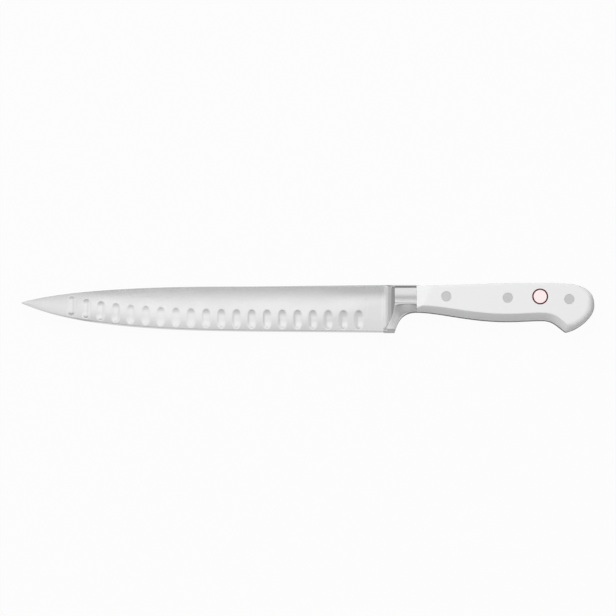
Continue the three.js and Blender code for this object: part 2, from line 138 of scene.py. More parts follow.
def smooth_min(first: Any, second: Any, reach: Any) -> Any:
    """Finds the lesser of two heights, rounded where they are closer than a reach.

    Args:
        first: One height, or an array of them.
        second: The other height, or an array of them.
        reach: The difference, in mm, from which the lesser one is left alone.

    Returns:
        The rounded lesser height.
    """
    close = np.clip(1.0 - np.abs(first - second) / reach, 0.0, 1.0)
    return np.minimum(first, second) - close * close * reach / 4.0


def heading(degrees: float, length: float) -> Vector:
    """Returns a step of that length, turned from +X by that many degrees."""
    angle = math.radians(degrees)
    return Vector((length * math.cos(angle), length * math.sin(angle)))


def bearing(start: Vector, end: Vector) -> float:
    """Returns the heading of the line from one point to another, in degrees."""
    return math.degrees(math.atan2(end.y - start.y, end.x - start.x))


def sweep(start: Vector, leave: float, end: Vector, arrive: float, pulls: Span, count: int) -> Array:
    """Draws a cubic curve that leaves one point and arrives at another along given headings.

    Args:
        start: The point that the curve leaves.
        leave: Its heading there, in degrees.
        end: The point that it arrives at.
        arrive: Its heading there, in degrees.
        pulls: Lengths of the two handles, as shares of the distance that the curve spans.
        count: How many points to draw.

    Returns:
        The points, one in each row.
    """
    span = (end - start).length
    first = start + heading(leave, pulls[0] * span)
    second = end - heading(arrive, pulls[1] * span)
    return np.array([point[:2] for point in interpolate_bezier(start, first, second, end, count)])


def arc_lengths(points: Array) -> Array:
    """Returns the length of a line of points up to each of them."""
    steps = np.hypot(*np.diff(points, axis=0).T)
    return np.concatenate([[0.0], np.cumsum(steps)])


@dataclass(frozen=True)
class Datum:
    """Where the knife's datum lies in the part's frame, in metres."""

    place: Vector

    @classmethod
    def of_frame(cls, blade: "Forging") -> "Datum":
        """Finds the datum from the box of the CAD's forging: its tip, its heel and its mid-plane.

        Args:
            blade: The forging that is modelled here.

        Returns:
            The datum.
        """
        low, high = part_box("forged_blade")
        x = low.x - blade.tip_x * MM
        y = low.y + blade.heel_drop * MM
        return cls(Vector((x, y, (low.z + high.z) / 2)))

    def to_frame(self, mesh: BMesh) -> None:
        """Carries a mesh from the datum's millimetres to metres in the part's frame."""
        matrix = Matrix.Translation(self.place) @ Matrix.Scale(MM, 4)
        bmesh.ops.transform(mesh, matrix=matrix, verts=mesh.verts)

    def point(self, x: float, y: float, z: float) -> Triple:
        """Returns a point of the datum, in mm, as metres in the part's frame."""
        return tuple(self.place + Vector((x, y, z)) * MM)


Number = Union[float, "Value"]


@dataclass(frozen=True)
class Value:
    """A number that varies over a surface: a shader node's output that takes part in sums."""

    recipe: "Recipe"
    socket: bpy.types.NodeSocket

    def _result(self, kind: str, settings: dict[str, Any], inputs: dict[Any, Any]) -> "Value":
        """Adds a node and returns its first output."""
        return Value(self.recipe, self.recipe.node(kind, settings, inputs).outputs[0])

    def _sum(self, operation: str, first: Number, second: Number) -> "Value":
        """Adds a Math node and returns its result."""
        return self._result("ShaderNodeMath", {"operation": operation}, {0: first, 1: second})

    def __add__(self, other: Number) -> "Value":
        """Returns self + other."""
        return self._sum("ADD", self, other)

    def __radd__(self, other: Number) -> "Value":
        """Returns other + self."""
        return self._sum("ADD", other, self)

    def __sub__(self, other: Number) -> "Value":
        """Returns self - other."""
        return self._sum("SUBTRACT", self, other)

    def __rsub__(self, other: Number) -> "Value":
        """Returns other - self."""
        return self._sum("SUBTRACT", other, self)

    def __mul__(self, other: Number) -> "Value":
        """Returns self * other."""
        return self._sum("MULTIPLY", self, other)

    def __rmul__(self, other: Number) -> "Value":
        """Returns other * self."""
        return self._sum("MULTIPLY", other, self)

    def larger(self, other: Number) -> "Value":
        """Returns the larger of two numbers."""
        return self._sum("MAXIMUM", self, other)

    def root(self) -> "Value":
        """Returns the square root."""
        return self._result("ShaderNodeMath", {"operation": "SQRT"}, {0: self})

    def swing(self, share: float) -> "Value":
        """Returns a noise of 0 to 1 as a swing that spans that share, half of it below nothing."""
        return (self - 0.5) * share

    def ramp(self, start: float, end: float) -> "Value":
        """Returns 0 below start and 1 above end, eased in between."""
        inputs = {"Value": self, "From Min": start, "From Max": end}
        return self._result("ShaderNodeMapRange", {"interpolation_type": "SMOOTHSTEP"}, inputs)


class Recipe:
    """A node tree, with one method that adds any kind of node to it."""

    def __init__(self, tree: bpy.types.NodeTree) -> None:
        """Starts from an empty tree."""
        self.tree = tree
        tree.nodes.clear()

    def node(self, kind: str, settings: dict[str, Any], inputs: dict[Any, Any]) -> bpy.types.Node:
        """Adds one node.

        Args:
            kind: Blender's name for the node's type.
            settings: Values of the node's own properties, which are set first.
            inputs: Numbers, colours, sockets or Values for its inputs, by name or place.

        Returns:
            The new node.
        """
        made = self.tree.nodes.new(kind)
        for name, value in settings.items():
            setattr(made, name, value)
        for name, value in inputs.items():
            if isinstance(value, Value):
                value = value.socket
            if isinstance(value, bpy.types.NodeSocket):
                self.tree.links.new(value, made.inputs[name])
            else:
                made.inputs[name].default_value = value
        return made

    def place(self) -> bpy.types.NodeSocket:
        """Returns the object's own coordinates, in metres."""
        return self.node("ShaderNodeTexCoord", {}, {}).outputs["Object"]

    def axis(self, letter: str) -> Value:
        """Returns one of the object's own coordinates, in metres."""
        parts = self.node("ShaderNodeSeparateXYZ", {}, {0: self.place()})
        return Value(self, parts.outputs[letter])

    def noise(self, per_mm: Triple, detail: float = 2.0, roughness: float = 0.55) -> Value:
        """Adds a noise of 0 to 1.

        Args:
            per_mm: How many times it changes in each millimetre along each axis.
            detail: How many finer layers it has.
            roughness: How strong each finer layer is against the last.

        Returns:
            The noise.
        """
        scale = {"Vector": self.place(), "Scale": tuple(rate / MM for rate in per_mm)}
        vector = self.node("ShaderNodeMapping", {"vector_type": "POINT"}, scale).outputs[0]
        inputs = {"Vector": vector, "Scale": 1.0, "Detail": detail, "Roughness": roughness}
        return Value(self, self.node("ShaderNodeTexNoise", {}, inputs).outputs[0])

    def mark(self, mark: Mark) -> Value:
        """Returns a mark that the mesh carries on its vertices."""
        node = self.node("ShaderNodeAttribute", {"attribute_name": mark.value}, {})
        return Value(self, node.outputs["Fac"])

    def blend(self, share: Number, first: Any, second: Any) -> bpy.types.NodeSocket:
        """Returns a colour that goes from the first to the second."""
        inputs = {0: share, 6: first, 7: second}
        return self.node("ShaderNodeMix", {"data_type": "RGBA"}, inputs).outputs[2]

    def bump(self, height: Value, depth: float) -> bpy.types.NodeSocket:
        """Returns normals for a relief of that depth, in mm."""
        inputs = {"Height": height, "Distance": depth * MM, "Strength": 1.0}
        return self.node("ShaderNodeBump", {}, inputs).outputs[0]

    def surface(self, kind: str, inputs: dict[Any, Any]) -> None:
        """Ends the tree in a shader of that kind, with those inputs."""
        shader = self.node(kind, {}, inputs)
        self.node("ShaderNodeOutputMaterial", {}, {"Surface": shader.outputs[0]})


def new_material(name: str) -> tuple[bpy.types.Material, Recipe]:
    """Adds an empty material.

    Args:
        name: Its name.

    Returns:
        The material and the recipe that fills it.
    """
    material = bpy.data.materials.new(name)
    material.use_nodes = True
    return material, Recipe(material.node_tree)


@dataclass(frozen=True)
class GroundSteel:
    """Satin steel, ground across the blade, smoother on the bolster, with painted shade: darker where its
    mesh marks the shade.
    """

    name: str = "ground_steel"
    tone: float = 0.60
    tone_spread: float = 0.1
    # The dark grey of the painted shade, which stands in for shade and dark reflections
    painted_shade_tone: float = 0.17
    satin: float = 0.13
    polish: float = 0.14
    bolster_blend: float = 6.0
    # How often the grinding lines, the broader ones and the clouds change in a millimetre
    line_rate: Triple = (11.0, 0.12, 0.9)
    broad_rate: Triple = (1.6, 0.05, 0.4)
    cloud_rate: Triple = (0.05, 0.08, 0.08)
    # What they and the marks do to the roughness
    satin_lines: float = 0.10
    satin_cloud: float = 0.05
    satin_hollow: float = 0.02
    satin_edge: float = 0.06
    polish_lines: float = 0.05
    polish_bevel: float = 0.24
    # What they do to the tone
    shade_lines: float = 0.10
    shade_broad: float = 0.05
    shade_cloud: float = 0.04
    # What they do to the relief
    line_depth: float = 0.0016
    broad_relief: float = 0.35
    bolster_relief: float = 0.55

    def dress(self, bolster_front: float) -> bpy.types.Material:
        """Makes the material.

        Args:
            bolster_front: Where the blade ends and the bolster begins along X, in metres.

        Returns:
            The finished material.
        """
        material, recipe = new_material(self.name)
        lines = recipe.noise(self.line_rate, FINE_DETAIL)
        broad = recipe.noise(self.broad_rate)
        cloud = recipe.noise(self.cloud_rate)
        hollow, edge, bevelled, bare = (recipe.mark(mark) for mark in Mark)
        bolster = recipe.axis("X").ramp(bolster_front - self.bolster_blend * MM, bolster_front)
        satin = self.satin + lines.swing(self.satin_lines) + cloud.swing(self.satin_cloud)
        satin = satin - hollow * self.satin_hollow + edge * self.satin_edge
        polish = self.polish + lines.swing(self.polish_lines) + bevelled * self.polish_bevel
        shade = 0.5 + lines.swing(self.shade_lines) + broad.swing(self.shade_broad)
        shade = shade + cloud.swing(self.shade_cloud)
        tone = recipe.blend(shade, *grey_pair(self.tone, self.tone_spread))
        relief = lines * (1.0 - bolster * self.bolster_relief) + broad * self.broad_relief
        inputs = {
            # Painted shade: the marked steel is blended toward a dark grey
            "Base Color": recipe.blend(bare, tone, grey(self.painted_shade_tone)),
            "Metallic": 1.0,
            "Roughness": satin + (polish - satin) * bolster,
            "Normal": recipe.bump(relief, self.line_depth),
        }
        recipe.surface("ShaderNodeBsdfPrincipled", inputs)
        return material


@dataclass(frozen=True)
class WhitePlastic:
    """Cool white moulded plastic with a soft sheen and faint polishing marks."""

    name: str = "white_plastic"
    low: Colour = (0.788, 0.788, 0.788, 1.0)
    high: Colour = (0.808, 0.8096, 0.812, 1.0)
    rough: float = 0.34
    grain_rate: Triple = (2.6, 2.6, 2.6)
    cloud_rate: Triple = (0.06, 0.09, 0.09)
    buffing_rate: Triple = (0.18, 6.0, 6.0)
    shade_cloud: float = 0.6
    shade_grain: float = 0.3
    rough_cloud: float = 0.06
    rough_buffing: float = 0.08
    buffing_relief: float = 0.4
    grain_depth: float = 0.0012

    def dress(self) -> bpy.types.Material:
        """Makes the material.

        Returns:
            The finished material.
        """
        material, recipe = new_material(self.name)
        grain = recipe.noise(self.grain_rate, FINE_DETAIL)
        cloud = recipe.noise(self.cloud_rate)
        buffing = recipe.noise(self.buffing_rate)
        shade = 0.5 + cloud.swing(self.shade_cloud) + grain.swing(self.shade_grain)
        inputs = {
            "Base Color": recipe.blend(shade, self.low, self.high),
            "Roughness": self.rough + cloud.swing(self.rough_cloud) + buffing.swing(self.rough_buffing),
            "Normal": recipe.bump(grain + buffing * self.buffing_relief, self.grain_depth),
        }
        recipe.surface("ShaderNodeBsdfPrincipled", inputs)
        return material


@dataclass(frozen=True)
class RivetSteel:
    """Steel rivet heads, ground flush along the handle."""

    name: str = "rivet_steel"
    tone: float = 0.64
    tone_spread: float = 0.08
    rough: float = 0.34
    line_rate: Triple = (0.5, 12.0, 1.0)
    cloud_rate: Triple = (0.5, 0.5, 0.5)
    shade_lines: float = 0.5
    shade_cloud: float = 0.4
    rough_lines: float = 0.12
    line_depth: float = 0.0016

    def dress(self) -> bpy.types.Material:
        """Makes the material.

        Returns:
            The finished material.
        """
        material, recipe = new_material(self.name)
        lines = recipe.noise(self.line_rate, FINE_DETAIL)
        cloud = recipe.noise(self.cloud_rate)
        shade = 0.5 + lines.swing(self.shade_lines) + cloud.swing(self.shade_cloud)
        inputs = {
            "Base Color": recipe.blend(shade, *grey_pair(self.tone, self.tone_spread)),
            "Metallic": 1.0,
            "Roughness": self.rough + lines.swing(self.rough_lines),
            "Normal": recipe.bump(lines, self.line_depth),
        }
        recipe.surface("ShaderNodeBsdfPrincipled", inputs)
        return material


@dataclass(frozen=True)
class BadgeInlay:
    """A pale inlay with a plain dark red band round its rim."""

    name: str = "badge_inlay"
    pale: Colour = (0.93, 0.80, 0.80, 1.0)
    light: Colour = (0.9765, 0.84, 0.84, 1.0)
    red: Colour = (0.1, 0.002, 0.003, 1.0)
    band_inner: float = 4.02
    blur: float = 0.08
    rough: float = 0.30
    shine: float = 0.15
    speckle_rate: Triple = (3.0, 3.0, 3.0)
    rough_speckle: float = 0.08
    speckle_relief: float = 0.05
    band_depth: float = 0.01

    def dress(self, centre: Triple) -> bpy.types.Material:
        """Makes the material.

        Args:
            centre: The badge's middle in the part's frame, in metres.

        Returns:
            The finished material.
        """
        material, recipe = new_material(self.name)
        across, up = (recipe.axis(letter) - middle for letter, middle in zip("XY", centre))
        radius = (across * across + up * up).root()
        band = radius.ramp((self.band_inner - self.blur) * MM, (self.band_inner + self.blur) * MM)
        speckle = recipe.noise(self.speckle_rate)
        inputs = {
            "Base Color": recipe.blend(band, recipe.blend(speckle, self.pale, self.light), self.red),
            "Roughness": self.rough + speckle * self.rough_speckle,
            "Specular IOR Level": self.shine,
            "Normal": recipe.bump(speckle * self.speckle_relief - band, self.band_depth),
        }
        recipe.surface("ShaderNodeBsdfPrincipled", inputs)
        return material


@dataclass(frozen=True)
class Piece:
    """A piece of the looks: its name, the CAD node that it replaces, and the record's slot of its finish."""

    name: str
    node: str
    slot: Slot
    sharp_degrees: float

    def finish(self, mesh: BMesh, datum: Datum, material: bpy.types.Material) -> None:
        """Turns a finished mesh into the piece.

        Args:
            mesh: Its shape, from the datum. It is freed.
            datum: Where the knife lies.
            material: Its material.
        """
        datum.to_frame(mesh)
        bmesh.ops.recalc_face_normals(mesh, faces=mesh.faces)
        data = bpy.data.meshes.new(self.name)
        mesh.to_mesh(data)
        mesh.free()
        data.shade_smooth()
        data.set_sharp_from_angle(angle=math.radians(self.sharp_degrees))
        data.materials.append(material)
        piece = bpy.data.objects.new(self.name, data)
        bpy.context.scene.collection.objects.link(piece)
        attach(piece, BODY)
        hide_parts(self.node)
        LOG.info("%s: %d faces, stands for %s", self.name, len(data.polygons), self.node)


def of_kind(items: Sequence[Any], kind: type) -> list[Any]:
    """Returns those parts of a mesh that are of one kind."""
    return [item for item in items if isinstance(item, kind)]


def wrapped_grid(rings: Array, marks: dict[Mark, Array]) -> BMesh:
    """Wraps a grid over rings of points, and welds the seam where each ring closes.

    Args:
        rings: An array of rings by points by 3.
        marks: Numbers for the same points, which the mesh's vertices are to carry.

    Returns:
        A mesh that is open at its first and last rings.
    """
    ring_count, point_count = rings.shape[:2]
    mesh = bmesh.new()
    bmesh.ops.create_grid(mesh, x_segments=ring_count - 1, y_segments=point_count, size=1.0)
    layers = {mark: mesh.verts.layers.float.new(mark.value) for mark in marks}
    for vertex in mesh.verts:
        ring = round((vertex.co.x + 1.0) / 2.0 * (ring_count - 1))
        point = round((vertex.co.y + 1.0) / 2.0 * point_count) % point_count
        vertex.co = rings[ring, point]
        for mark, layer in layers.items():
            vertex[layer] = marks[mark][ring, point]
    bmesh.ops.remove_doubles(mesh, verts=mesh.verts, dist=WELD)
    return mesh


def turned(section: Sequence[Span], place: Array) -> BMesh:
    """Spins half a section about an upright axis.

    Args:
        section: Radii and heights, from the axis back to the axis.
        place: Where the axis stands.

    Returns:
        The closed turned shape.
    """
    mesh = bmesh.new()
    vertices = [mesh.verts.new((radius, 0.0, height)) for radius, height in section]
    edges = [mesh.edges.new(pair) for pair in zip(vertices, vertices[1:])]
    bmesh.ops.spin(
        mesh,
        geom=vertices + edges,
        cent=(0.0, 0.0, 0.0),
        axis=(0.0, 0.0, 1.0),
        angle=2 * math.pi,
        steps=ROUND_SIDES,
        use_merge=True,
        use_duplicate=False,
    )
    bmesh.ops.remove_doubles(mesh, verts=mesh.verts, dist=WELD)
    bmesh.ops.translate(mesh, verts=mesh.verts, vec=(place[0], place[1], 0.0))
    return mesh


def open_loops(mesh: BMesh) -> list[list[BMEdge]]:
    """Finds the loops of edges that bound a mesh's open ends.

    Args:
        mesh: The mesh.

    Returns:
        The edges of each loop.
    """
    left = {edge for edge in mesh.edges if edge.is_boundary}
    loops = []
    while left:
        waiting = [left.pop()]
        loop = []
        while waiting:
            edge = waiting.pop()
            loop.append(edge)
            near = {other for vertex in edge.verts for other in vertex.link_edges} & left
            left -= near
            waiting.extend(near)
        loops.append(loop)
    return loops


def loop_top(loop: list[BMEdge]) -> float:
    """Returns the height of the highest vertex of a loop."""
    return max(vertex.co.z for edge in loop for vertex in edge.verts)


def round_loop(mesh: BMesh, centre: Array, radius: float, z: float) -> list[BMEdge]:
    """Adds a circle of edges.

    Args:
        mesh: The mesh that it goes into.
        centre: The circle's middle along X and Y.
        radius: Its radius.
        z: Its height.

    Returns:
        The circle's edges.
    """
    matrix = Matrix.Translation((centre[0], centre[1], z))
    made = bmesh.ops.create_circle(mesh, radius=radius, segments=ROUND_SIDES, matrix=matrix)
    return list(dict.fromkeys(edge for vertex in made["verts"] for edge in vertex.link_edges))


def extrude_loop(mesh: BMesh, edges: list[BMEdge], centre: Array, radius: float, z: float) -> list[BMEdge]:
    """Extrudes a circle of edges to another radius and height.

    Args:
        mesh: The mesh that holds the circle.
        edges: The circle's edges.
        centre: Its middle along X and Y.
        radius: The new radius.
        z: The new height.

    Returns:
        The edges of the new circle.
    """
    made = bmesh.ops.extrude_edge_only(mesh, edges=edges)["geom"]
    middle = Vector((centre[0], centre[1], z))
    for vertex in of_kind(made, BMVert):
        out = Vector((vertex.co.x - centre[0], vertex.co.y - centre[1], 0.0)).normalized()
        vertex.co = middle + out * radius
    return of_kind(made, BMEdge)


@dataclass(frozen=True)
class HandleOutline:
    """The handle seen from its side, which the tang and both scales share, and the height of its faces.

    An inset is measured from the butt and a drop from the top of the joint with the bolster. A pull is
    the length of a curve's handle, as a share of the distance that the curve spans.
    """

    length: float = 109.6
    face: float = 9.7
    front_height: float = 16.9
    crest_inset: float = 44.0
    crest_rise: float = 1.548
    butt_drop: float = 12.4
    hook_inset: float = 18.0
    hook_drop: float = 29.2
    hook_arrive: float = 185.3
    hook_leave: float = 145.0
    waist_inset: float = 32.2
    waist_drop: float = 22.05
    belly_inset: float = 53.8
    belly_drop: float = 22.7
    short_pull: float = 0.25
    even_pull: float = 0.34
    long_pull: float = 0.42
    full_pull: float = 0.57
    back_points: int = 61
    butt_points: int = 61
    hook_points: int = 41
    rise_points: int = 33
    waist_points: int = 25
    belly_points: int = 49

    def stretches(self) -> dict[str, Array]:
        """Draws the outline's curves.

        Returns:
            The curves' points by name, clockwise from the top of the joint with the bolster.
        """
        top = Vector((0.0, 0.0))
        crest = Vector((self.length - self.crest_inset, self.crest_rise))
        butt = Vector((self.length, -self.butt_drop))
        hook = Vector((self.length - self.hook_inset, -self.hook_drop))
        waist = Vector((self.length - self.waist_inset, -self.waist_drop))
        belly = Vector((self.length - self.belly_inset, -self.belly_drop))
        foot = Vector((0.0, -self.front_height))
        even = (self.even_pull, self.even_pull)
        crown = (self.full_pull, self.even_pull)
        tail = (self.even_pull, self.short_pull)
        grip = (self.long_pull, self.long_pull)
        front = (self.long_pull, self.short_pull)
        return {
            "back": sweep(top, 0.0, crest, 0.0, even, self.back_points),
            "butt_top": sweep(crest, 0.0, butt, -90.0, crown, self.butt_points),
            "butt_low": sweep(butt, -90.0, hook, self.hook_arrive, tail, self.hook_points),
            "hook_rise": sweep(hook, self.hook_leave, waist, 180.0, grip, self.rise_points),
            "belly_rear": sweep(waist, 180.0, belly, 180.0, even, self.waist_points),
            "belly_front": sweep(belly, 180.0, foot, 180.0, front, self.belly_points),
        }

    def points(self) -> Array:
        """Returns the whole outline as points, from the top of the joint round to its foot."""
        curves = list(self.stretches().values())
        return np.concatenate([curve[:-1] for curve in curves] + [curves[-1][-1:]])

    def hook_place(self) -> int:
        """Returns the place of the hook's tip among the outline's points."""
        curves = self.stretches()
        return sum(len(curves[name]) - 1 for name in ("back", "butt_top", "butt_low"))


@dataclass(frozen=True)
class Bolster:
    """Sizes of the bolster, from the sweep out of the blade to the joint with the scales."""

    length: float = 13.5
    back_half: float = 7.5
    crown_drop: float = 8.0
    crown_bend: float = 0.0075
    sweep_length: float = 8.0
    taper_drop: float = 11.35
    heel_length: float = 6.5
    heel_half: float = 0.6
    heel_foot: float = 2.5
    heel_lean: float = 16.7
    heel_bend: float = 1.2
    finger_pulls: Span = (0.34, 0.51)
    top_ease: float = 1.75
    foot_ease: float = 1.1
    joint_drop: float = 11.15
    joint_foot: float = 3.3
    # How widely the creases are rounded
    crease_round: float = 0.35
    bevel_round: float = 0.15
    heel_round: float = 0.5

    def side(self, y: Array) -> Array:
        """Returns the half thickness of the gently crowned side at a height."""
        sag = self.crown_bend * (self.crown_drop**2 - (y + self.crown_drop) ** 2)
        return self.back_half + sag


@dataclass
class Sections:
    """Upright sections through the blade and bolster, from the tip to the joint, one in each row.

    Feet and tops are points, and the rest are single columns: how far the concave sweep has risen, 0 to 1
    from the cutting edge to the blunt heel, the half thickness at the spine, the rounding of the spine,
    and the height of the ground edge or of the rounded foot.
    """

    feet: Array
    tops: Array
    swept: Array
    heel: Array
    thick: Array
    ease: Array
    bevel: Array


@dataclass
class Forging:
    """Blade, bolster and tang, which are one forging."""

    outline: HandleOutline
    bolster: Bolster = Bolster()
    # Outline of the blade
    length: float = 230.0
    height: float = 29.14
    heel_step: float = 0.26
    tip_drop: float = 10.7
    tip_flat: float = 0.4
    back_rise: float = 0.32
    spine_fall: float = 1.0
    spine_curve: float = 143.0
    spine_tip_angle: float = 16.0
    spine_pulls: Span = (0.28, 0.12)
    edge_rise: float = 0.61
    edge_curve: float = 150.0
    edge_tip_angle: float = 24.9
    edge_pulls: Span = (0.35, 0.25)
    curve_points: int = 161
    # Half thicknesses, and how far down the side it begins to lean and leans fully, as shares
    spine_half: float = 1.05
    tip_half: float = 0.8
    shoulder_half: float = 0.25
    edge_half: float = 0.04
    edge_bevel: float = 0.9
    edge_share: float = 0.25
    grind: Span = (0.0, 1.0)
    heel_grind: Span = (0.16, 0.4)
    heel_reach: float = 0.3
    heel_blend: float = 0.8
    spine_ease: float = 0.05
    ease_share: float = 0.5
    ease_gain: float = 2.0
    foot_turn: float = 0.7
    # The wedge at the tip. A fade is a distance from the tip and the blend that follows it
    tip_fade: Span = (30.0, 24.0)
    tip_wedge: float = 0.0255
    tip_grind: Span = (-0.3, 1.0)
    tip_edge: float = 0.055
    tip_edge_rise: float = 0.0032
    # Hollows. The bows are powers that round or square their ends
    hollow_pitch: float = 9.42
    hollow_start: float = 22.2
    hollow_tip_clear: float = 28.0
    hollow_margin: float = 1.6
    hollow_length: float = 12.2
    hollow_width: float = 5.6
    hollow_depth: float = 0.15
    hollow_top_bow: float = 3.3
    hollow_foot_bow: float = 2.6
    hollow_lean: float = 0.25
    hollow_lip: float = 0.03
    tip_bow: float = 3.9
    tip_bow_fade: Span = (40.0, 45.0)
    shallow: float = 0.28
    shallow_start: Span = (48.0, 20.0)
    shallow_end: Span = (80.0, 50.0)
    # Tang
    tang_half: float = 1.5
    tang_root: float = 1.0
    tang_round: float = 0.6
    round_steps: int = 3
    round_drop: float = 14.0
    round_start: float = 1.0
    round_past_hook: float = 4.0
    # How dark the painted shade is, which darkens the steel to stand in for shade and dark reflections
    tip_painted_shade: float = 0.085
    spine_painted_shade: float = 0.5
    heel_painted_shade: float = 0.45
    foot_painted_shade: float = 1.9
    painted_shade_blend: float = 2.0
    # Where the heel's bevel is rougher: how far it has fallen, below which drop, and how near its plane
    rough_fall: float = 1.5
    rough_drop: float = 5.0
    rough_near: float = 0.1
    # How finely the sections are spread, and the points up them
    tip_run: float = 12.0
    tip_sections: int = 40
    tip_crowding: float = 1.7
    pitch_sections: int = 22
    sweep_sections: int = 44
    bolster_sections: int = 48
    crowding: float = 1.35
    hollow_zone: float = 14.8
    zone_share: float = 0.94
    foot_rows: int = 5
    zone_rows: int = 42
    upper_rows: int = 16
    ease_rows: int = 5
    sharp_degrees: float = 40.0

    def __post_init__(self) -> None:
        """Draws the curves that the surfaces are measured from."""
        self.crease_x = -self.bolster.length
        self.sweep_x = self.crease_x - self.bolster.sweep_length
        self.heel_x = self.crease_x - self.bolster.heel_length
        self.tip_x = self.crease_x - self.length
        self.heel_drop = self.height + self.heel_step
        tip = Vector((self.tip_x, self.tip_flat / 2 - self.tip_drop))
        turn = Vector((self.tip_x + self.spine_curve, self.back_rise - self.spine_fall))
        end = Vector((self.crease_x, self.back_rise))
        slope = bearing(turn, end)
        curve = sweep(tip, self.spine_tip_angle, turn, slope, self.spine_pulls, self.curve_points)
        self.spine = np.concatenate([curve, [end[:]]])
        heel = Vector((self.heel_x, -self.height))
        turn = Vector((self.tip_x + self.edge_curve, self.edge_rise - self.height))
        tip = Vector((self.tip_x, -self.tip_flat / 2 - self.tip_drop))
        slope, arrive = bearing(heel, turn), 180.0 - self.edge_tip_angle
        curve = sweep(turn, slope, tip, arrive, self.edge_pulls, self.curve_points)
        self.edge = np.concatenate([[heel[:]], curve])
        low = Vector((self.crease_x, -self.heel_drop))
        foot = Vector((0.0, -self.outline.front_height))
        leave = 90.0 - self.bolster.heel_lean
        self.finger = sweep(low, leave, foot, 0.0, self.bolster.finger_pulls, self.curve_points)

    def near_tip(self, x: Any, fade: Span) -> Any:
        """Returns 1 from the tip to the fade's distance from it, and 0 past the fade's blend."""
        return 1.0 - smooth_step((x - self.tip_x - fade[0]) / fade[1])

    def heel_share(self, x: Array) -> Array:
        """Returns 0 along the cutting edge and 1 along the blunt heel."""
        return smooth_step((x - self.heel_x) / self.heel_blend + 1.0)

    def spine_line(self, x: Array) -> Array:
        """Returns the height of the spine."""
        return np.interp(x, self.spine[:, 0], self.spine[:, 1])

    def cutting_line(self, x: Array) -> Array:
        """Returns the height of the cutting edge, and of the heel behind it."""
        edge = np.interp(x, self.edge[::-1, 0], self.edge[::-1, 1])
        return lerp(edge, -self.heel_drop, self.heel_share(x))

    def edge_height(self, height: Array) -> Array:
        """Returns how high the ground edge stands in a section of that height."""
        return np.minimum(self.edge_bevel, self.edge_share * height)

    def hollow_places(self, side: Side) -> list[tuple[Array, float]]:
        """Sets out the hollows along the edge.

        Args:
            side: The side of the blade that they are ground into. Those of the right side lie half a
                pitch nearer the bolster.

        Returns:
            Each hollow's centre, and how far it leans, in radians.
        """
        run = arc_lengths(self.edge)
        steps = np.gradient(self.edge, axis=0)
        slant = np.arctan2(-steps[:, 1], -steps[:, 0])
        shift = 0.0 if side is Side.LEFT else self.hollow_pitch / 2
        last = self.length - self.hollow_tip_clear
        places = []
        for distance in np.arange(self.hollow_start, last, self.hollow_pitch) - shift:
            along = distance - self.bolster.heel_length
            foot = np.array([np.interp(along, run, self.edge[:, axis]) for axis in (0, 1)])
            lean = np.interp(along, run, slant)
            inward = np.array([-math.sin(lean), math.cos(lean)])
            centre = foot + inward * (self.hollow_margin + self.hollow_length / 2)
            places.append((centre, lean * self.hollow_lean))
        return places

    def hollow_middle(self, x: float) -> float:
        """Returns how deep the hollow at a place is in its middle, less in a band behind the tip."""
        band = self.near_tip(x, self.shallow_end) - self.near_tip(x, self.shallow_start)
        return self.hollow_depth * (1.0 - self.shallow * band)

    def hollow_cut(self, x: Array, y: Array, side: Side) -> Array:
        """Finds how deep the hollows are below the plain side.

        Args:
            x: Places along the blade.
            y: Their heights.
            side: The side of the blade.

        Returns:
            The depth at each place, in mm.
        """
        depth = np.zeros_like(x)
        for centre, lean in self.hollow_places(side):
            dx, dy = x - centre[0], y - centre[1]
            across = (dx * math.cos(lean) + dy * math.sin(lean)) / (self.hollow_width / 2)
            up = (dy * math.cos(lean) - dx * math.sin(lean)) / (self.hollow_length / 2)
            bow = np.where(up > 0.0, self.hollow_top_bow, self.hollow_foot_bow)
            bow = lerp(bow, self.tip_bow, self.near_tip(centre[0], self.tip_bow_fade))
            bowl = self.hollow_middle(centre[0]) * (1.0 - across**2 - np.abs(up) ** bow)
            depth = np.maximum(depth, -smooth_min(-bowl, np.zeros_like(bowl), self.hollow_lip))
        return np.maximum(depth - self.hollow_lip / 4, 0.0)

    @staticmethod
    def fallen(down: Any, start: Any, end: Any) -> Any:
        """Returns how far a side has fallen that begins to lean at start and leans fully from end."""
        bent = np.clip(down - start, 0.0, end - start)
        return bent * bent / (2.0 * (end - start)) + np.maximum(down - end, 0.0)

    def ground_share(self, down: Array, start: Any, end: Any) -> Array:
        """Finds how much of the blade's thickness is ground away below the spine.

        Args:
            down: How far down the side a point lies, from 0 at the spine to 1 at the edge's shoulder.
            start: How far down the side begins to lean.
            end: How far down it leans fully.

        Returns:
            A share of 0 at the spine to 1 at the shoulder.
        """
        spine, shoulder = self.fallen(0.0, start, end), self.fallen(1.0, start, end)
        return (self.fallen(down, start, end) - spine) / (shoulder - spine)

    def blade_side(self, x: Array, y: Array) -> Array:
        """Finds the half thickness of the blade above its ground edge, with no hollows.

        Args:
            x: Places along the blade.
            y: Their heights.

        Returns:
            The half thickness at each place.
        """
        spine, low = self.spine_line(x), self.cutting_line(x)
        height = spine - low
        shoulder = low + self.edge_height(height)
        down = np.clip((spine - y) / (spine - shoulder), 0.0, 1.0)
        along = np.clip((self.crease_x - x) / self.length, 0.0, 1.0)
        heel = 1.0 - smooth_step(along / self.heel_reach)
        ends = (lerp(plain, at_heel, heel) for plain, at_heel in zip(self.grind, self.heel_grind))
        thick = lerp(self.spine_half, self.tip_half, along)
        body = lerp(thick, self.shoulder_half, self.ground_share(down, *ends))
        wedge = self.tip_wedge * height * (1.0 - self.ground_share(down, *self.tip_grind))
        point = self.tip_edge + self.tip_edge_rise * height + wedge
        return lerp(body, point, self.near_tip(x, self.tip_fade))

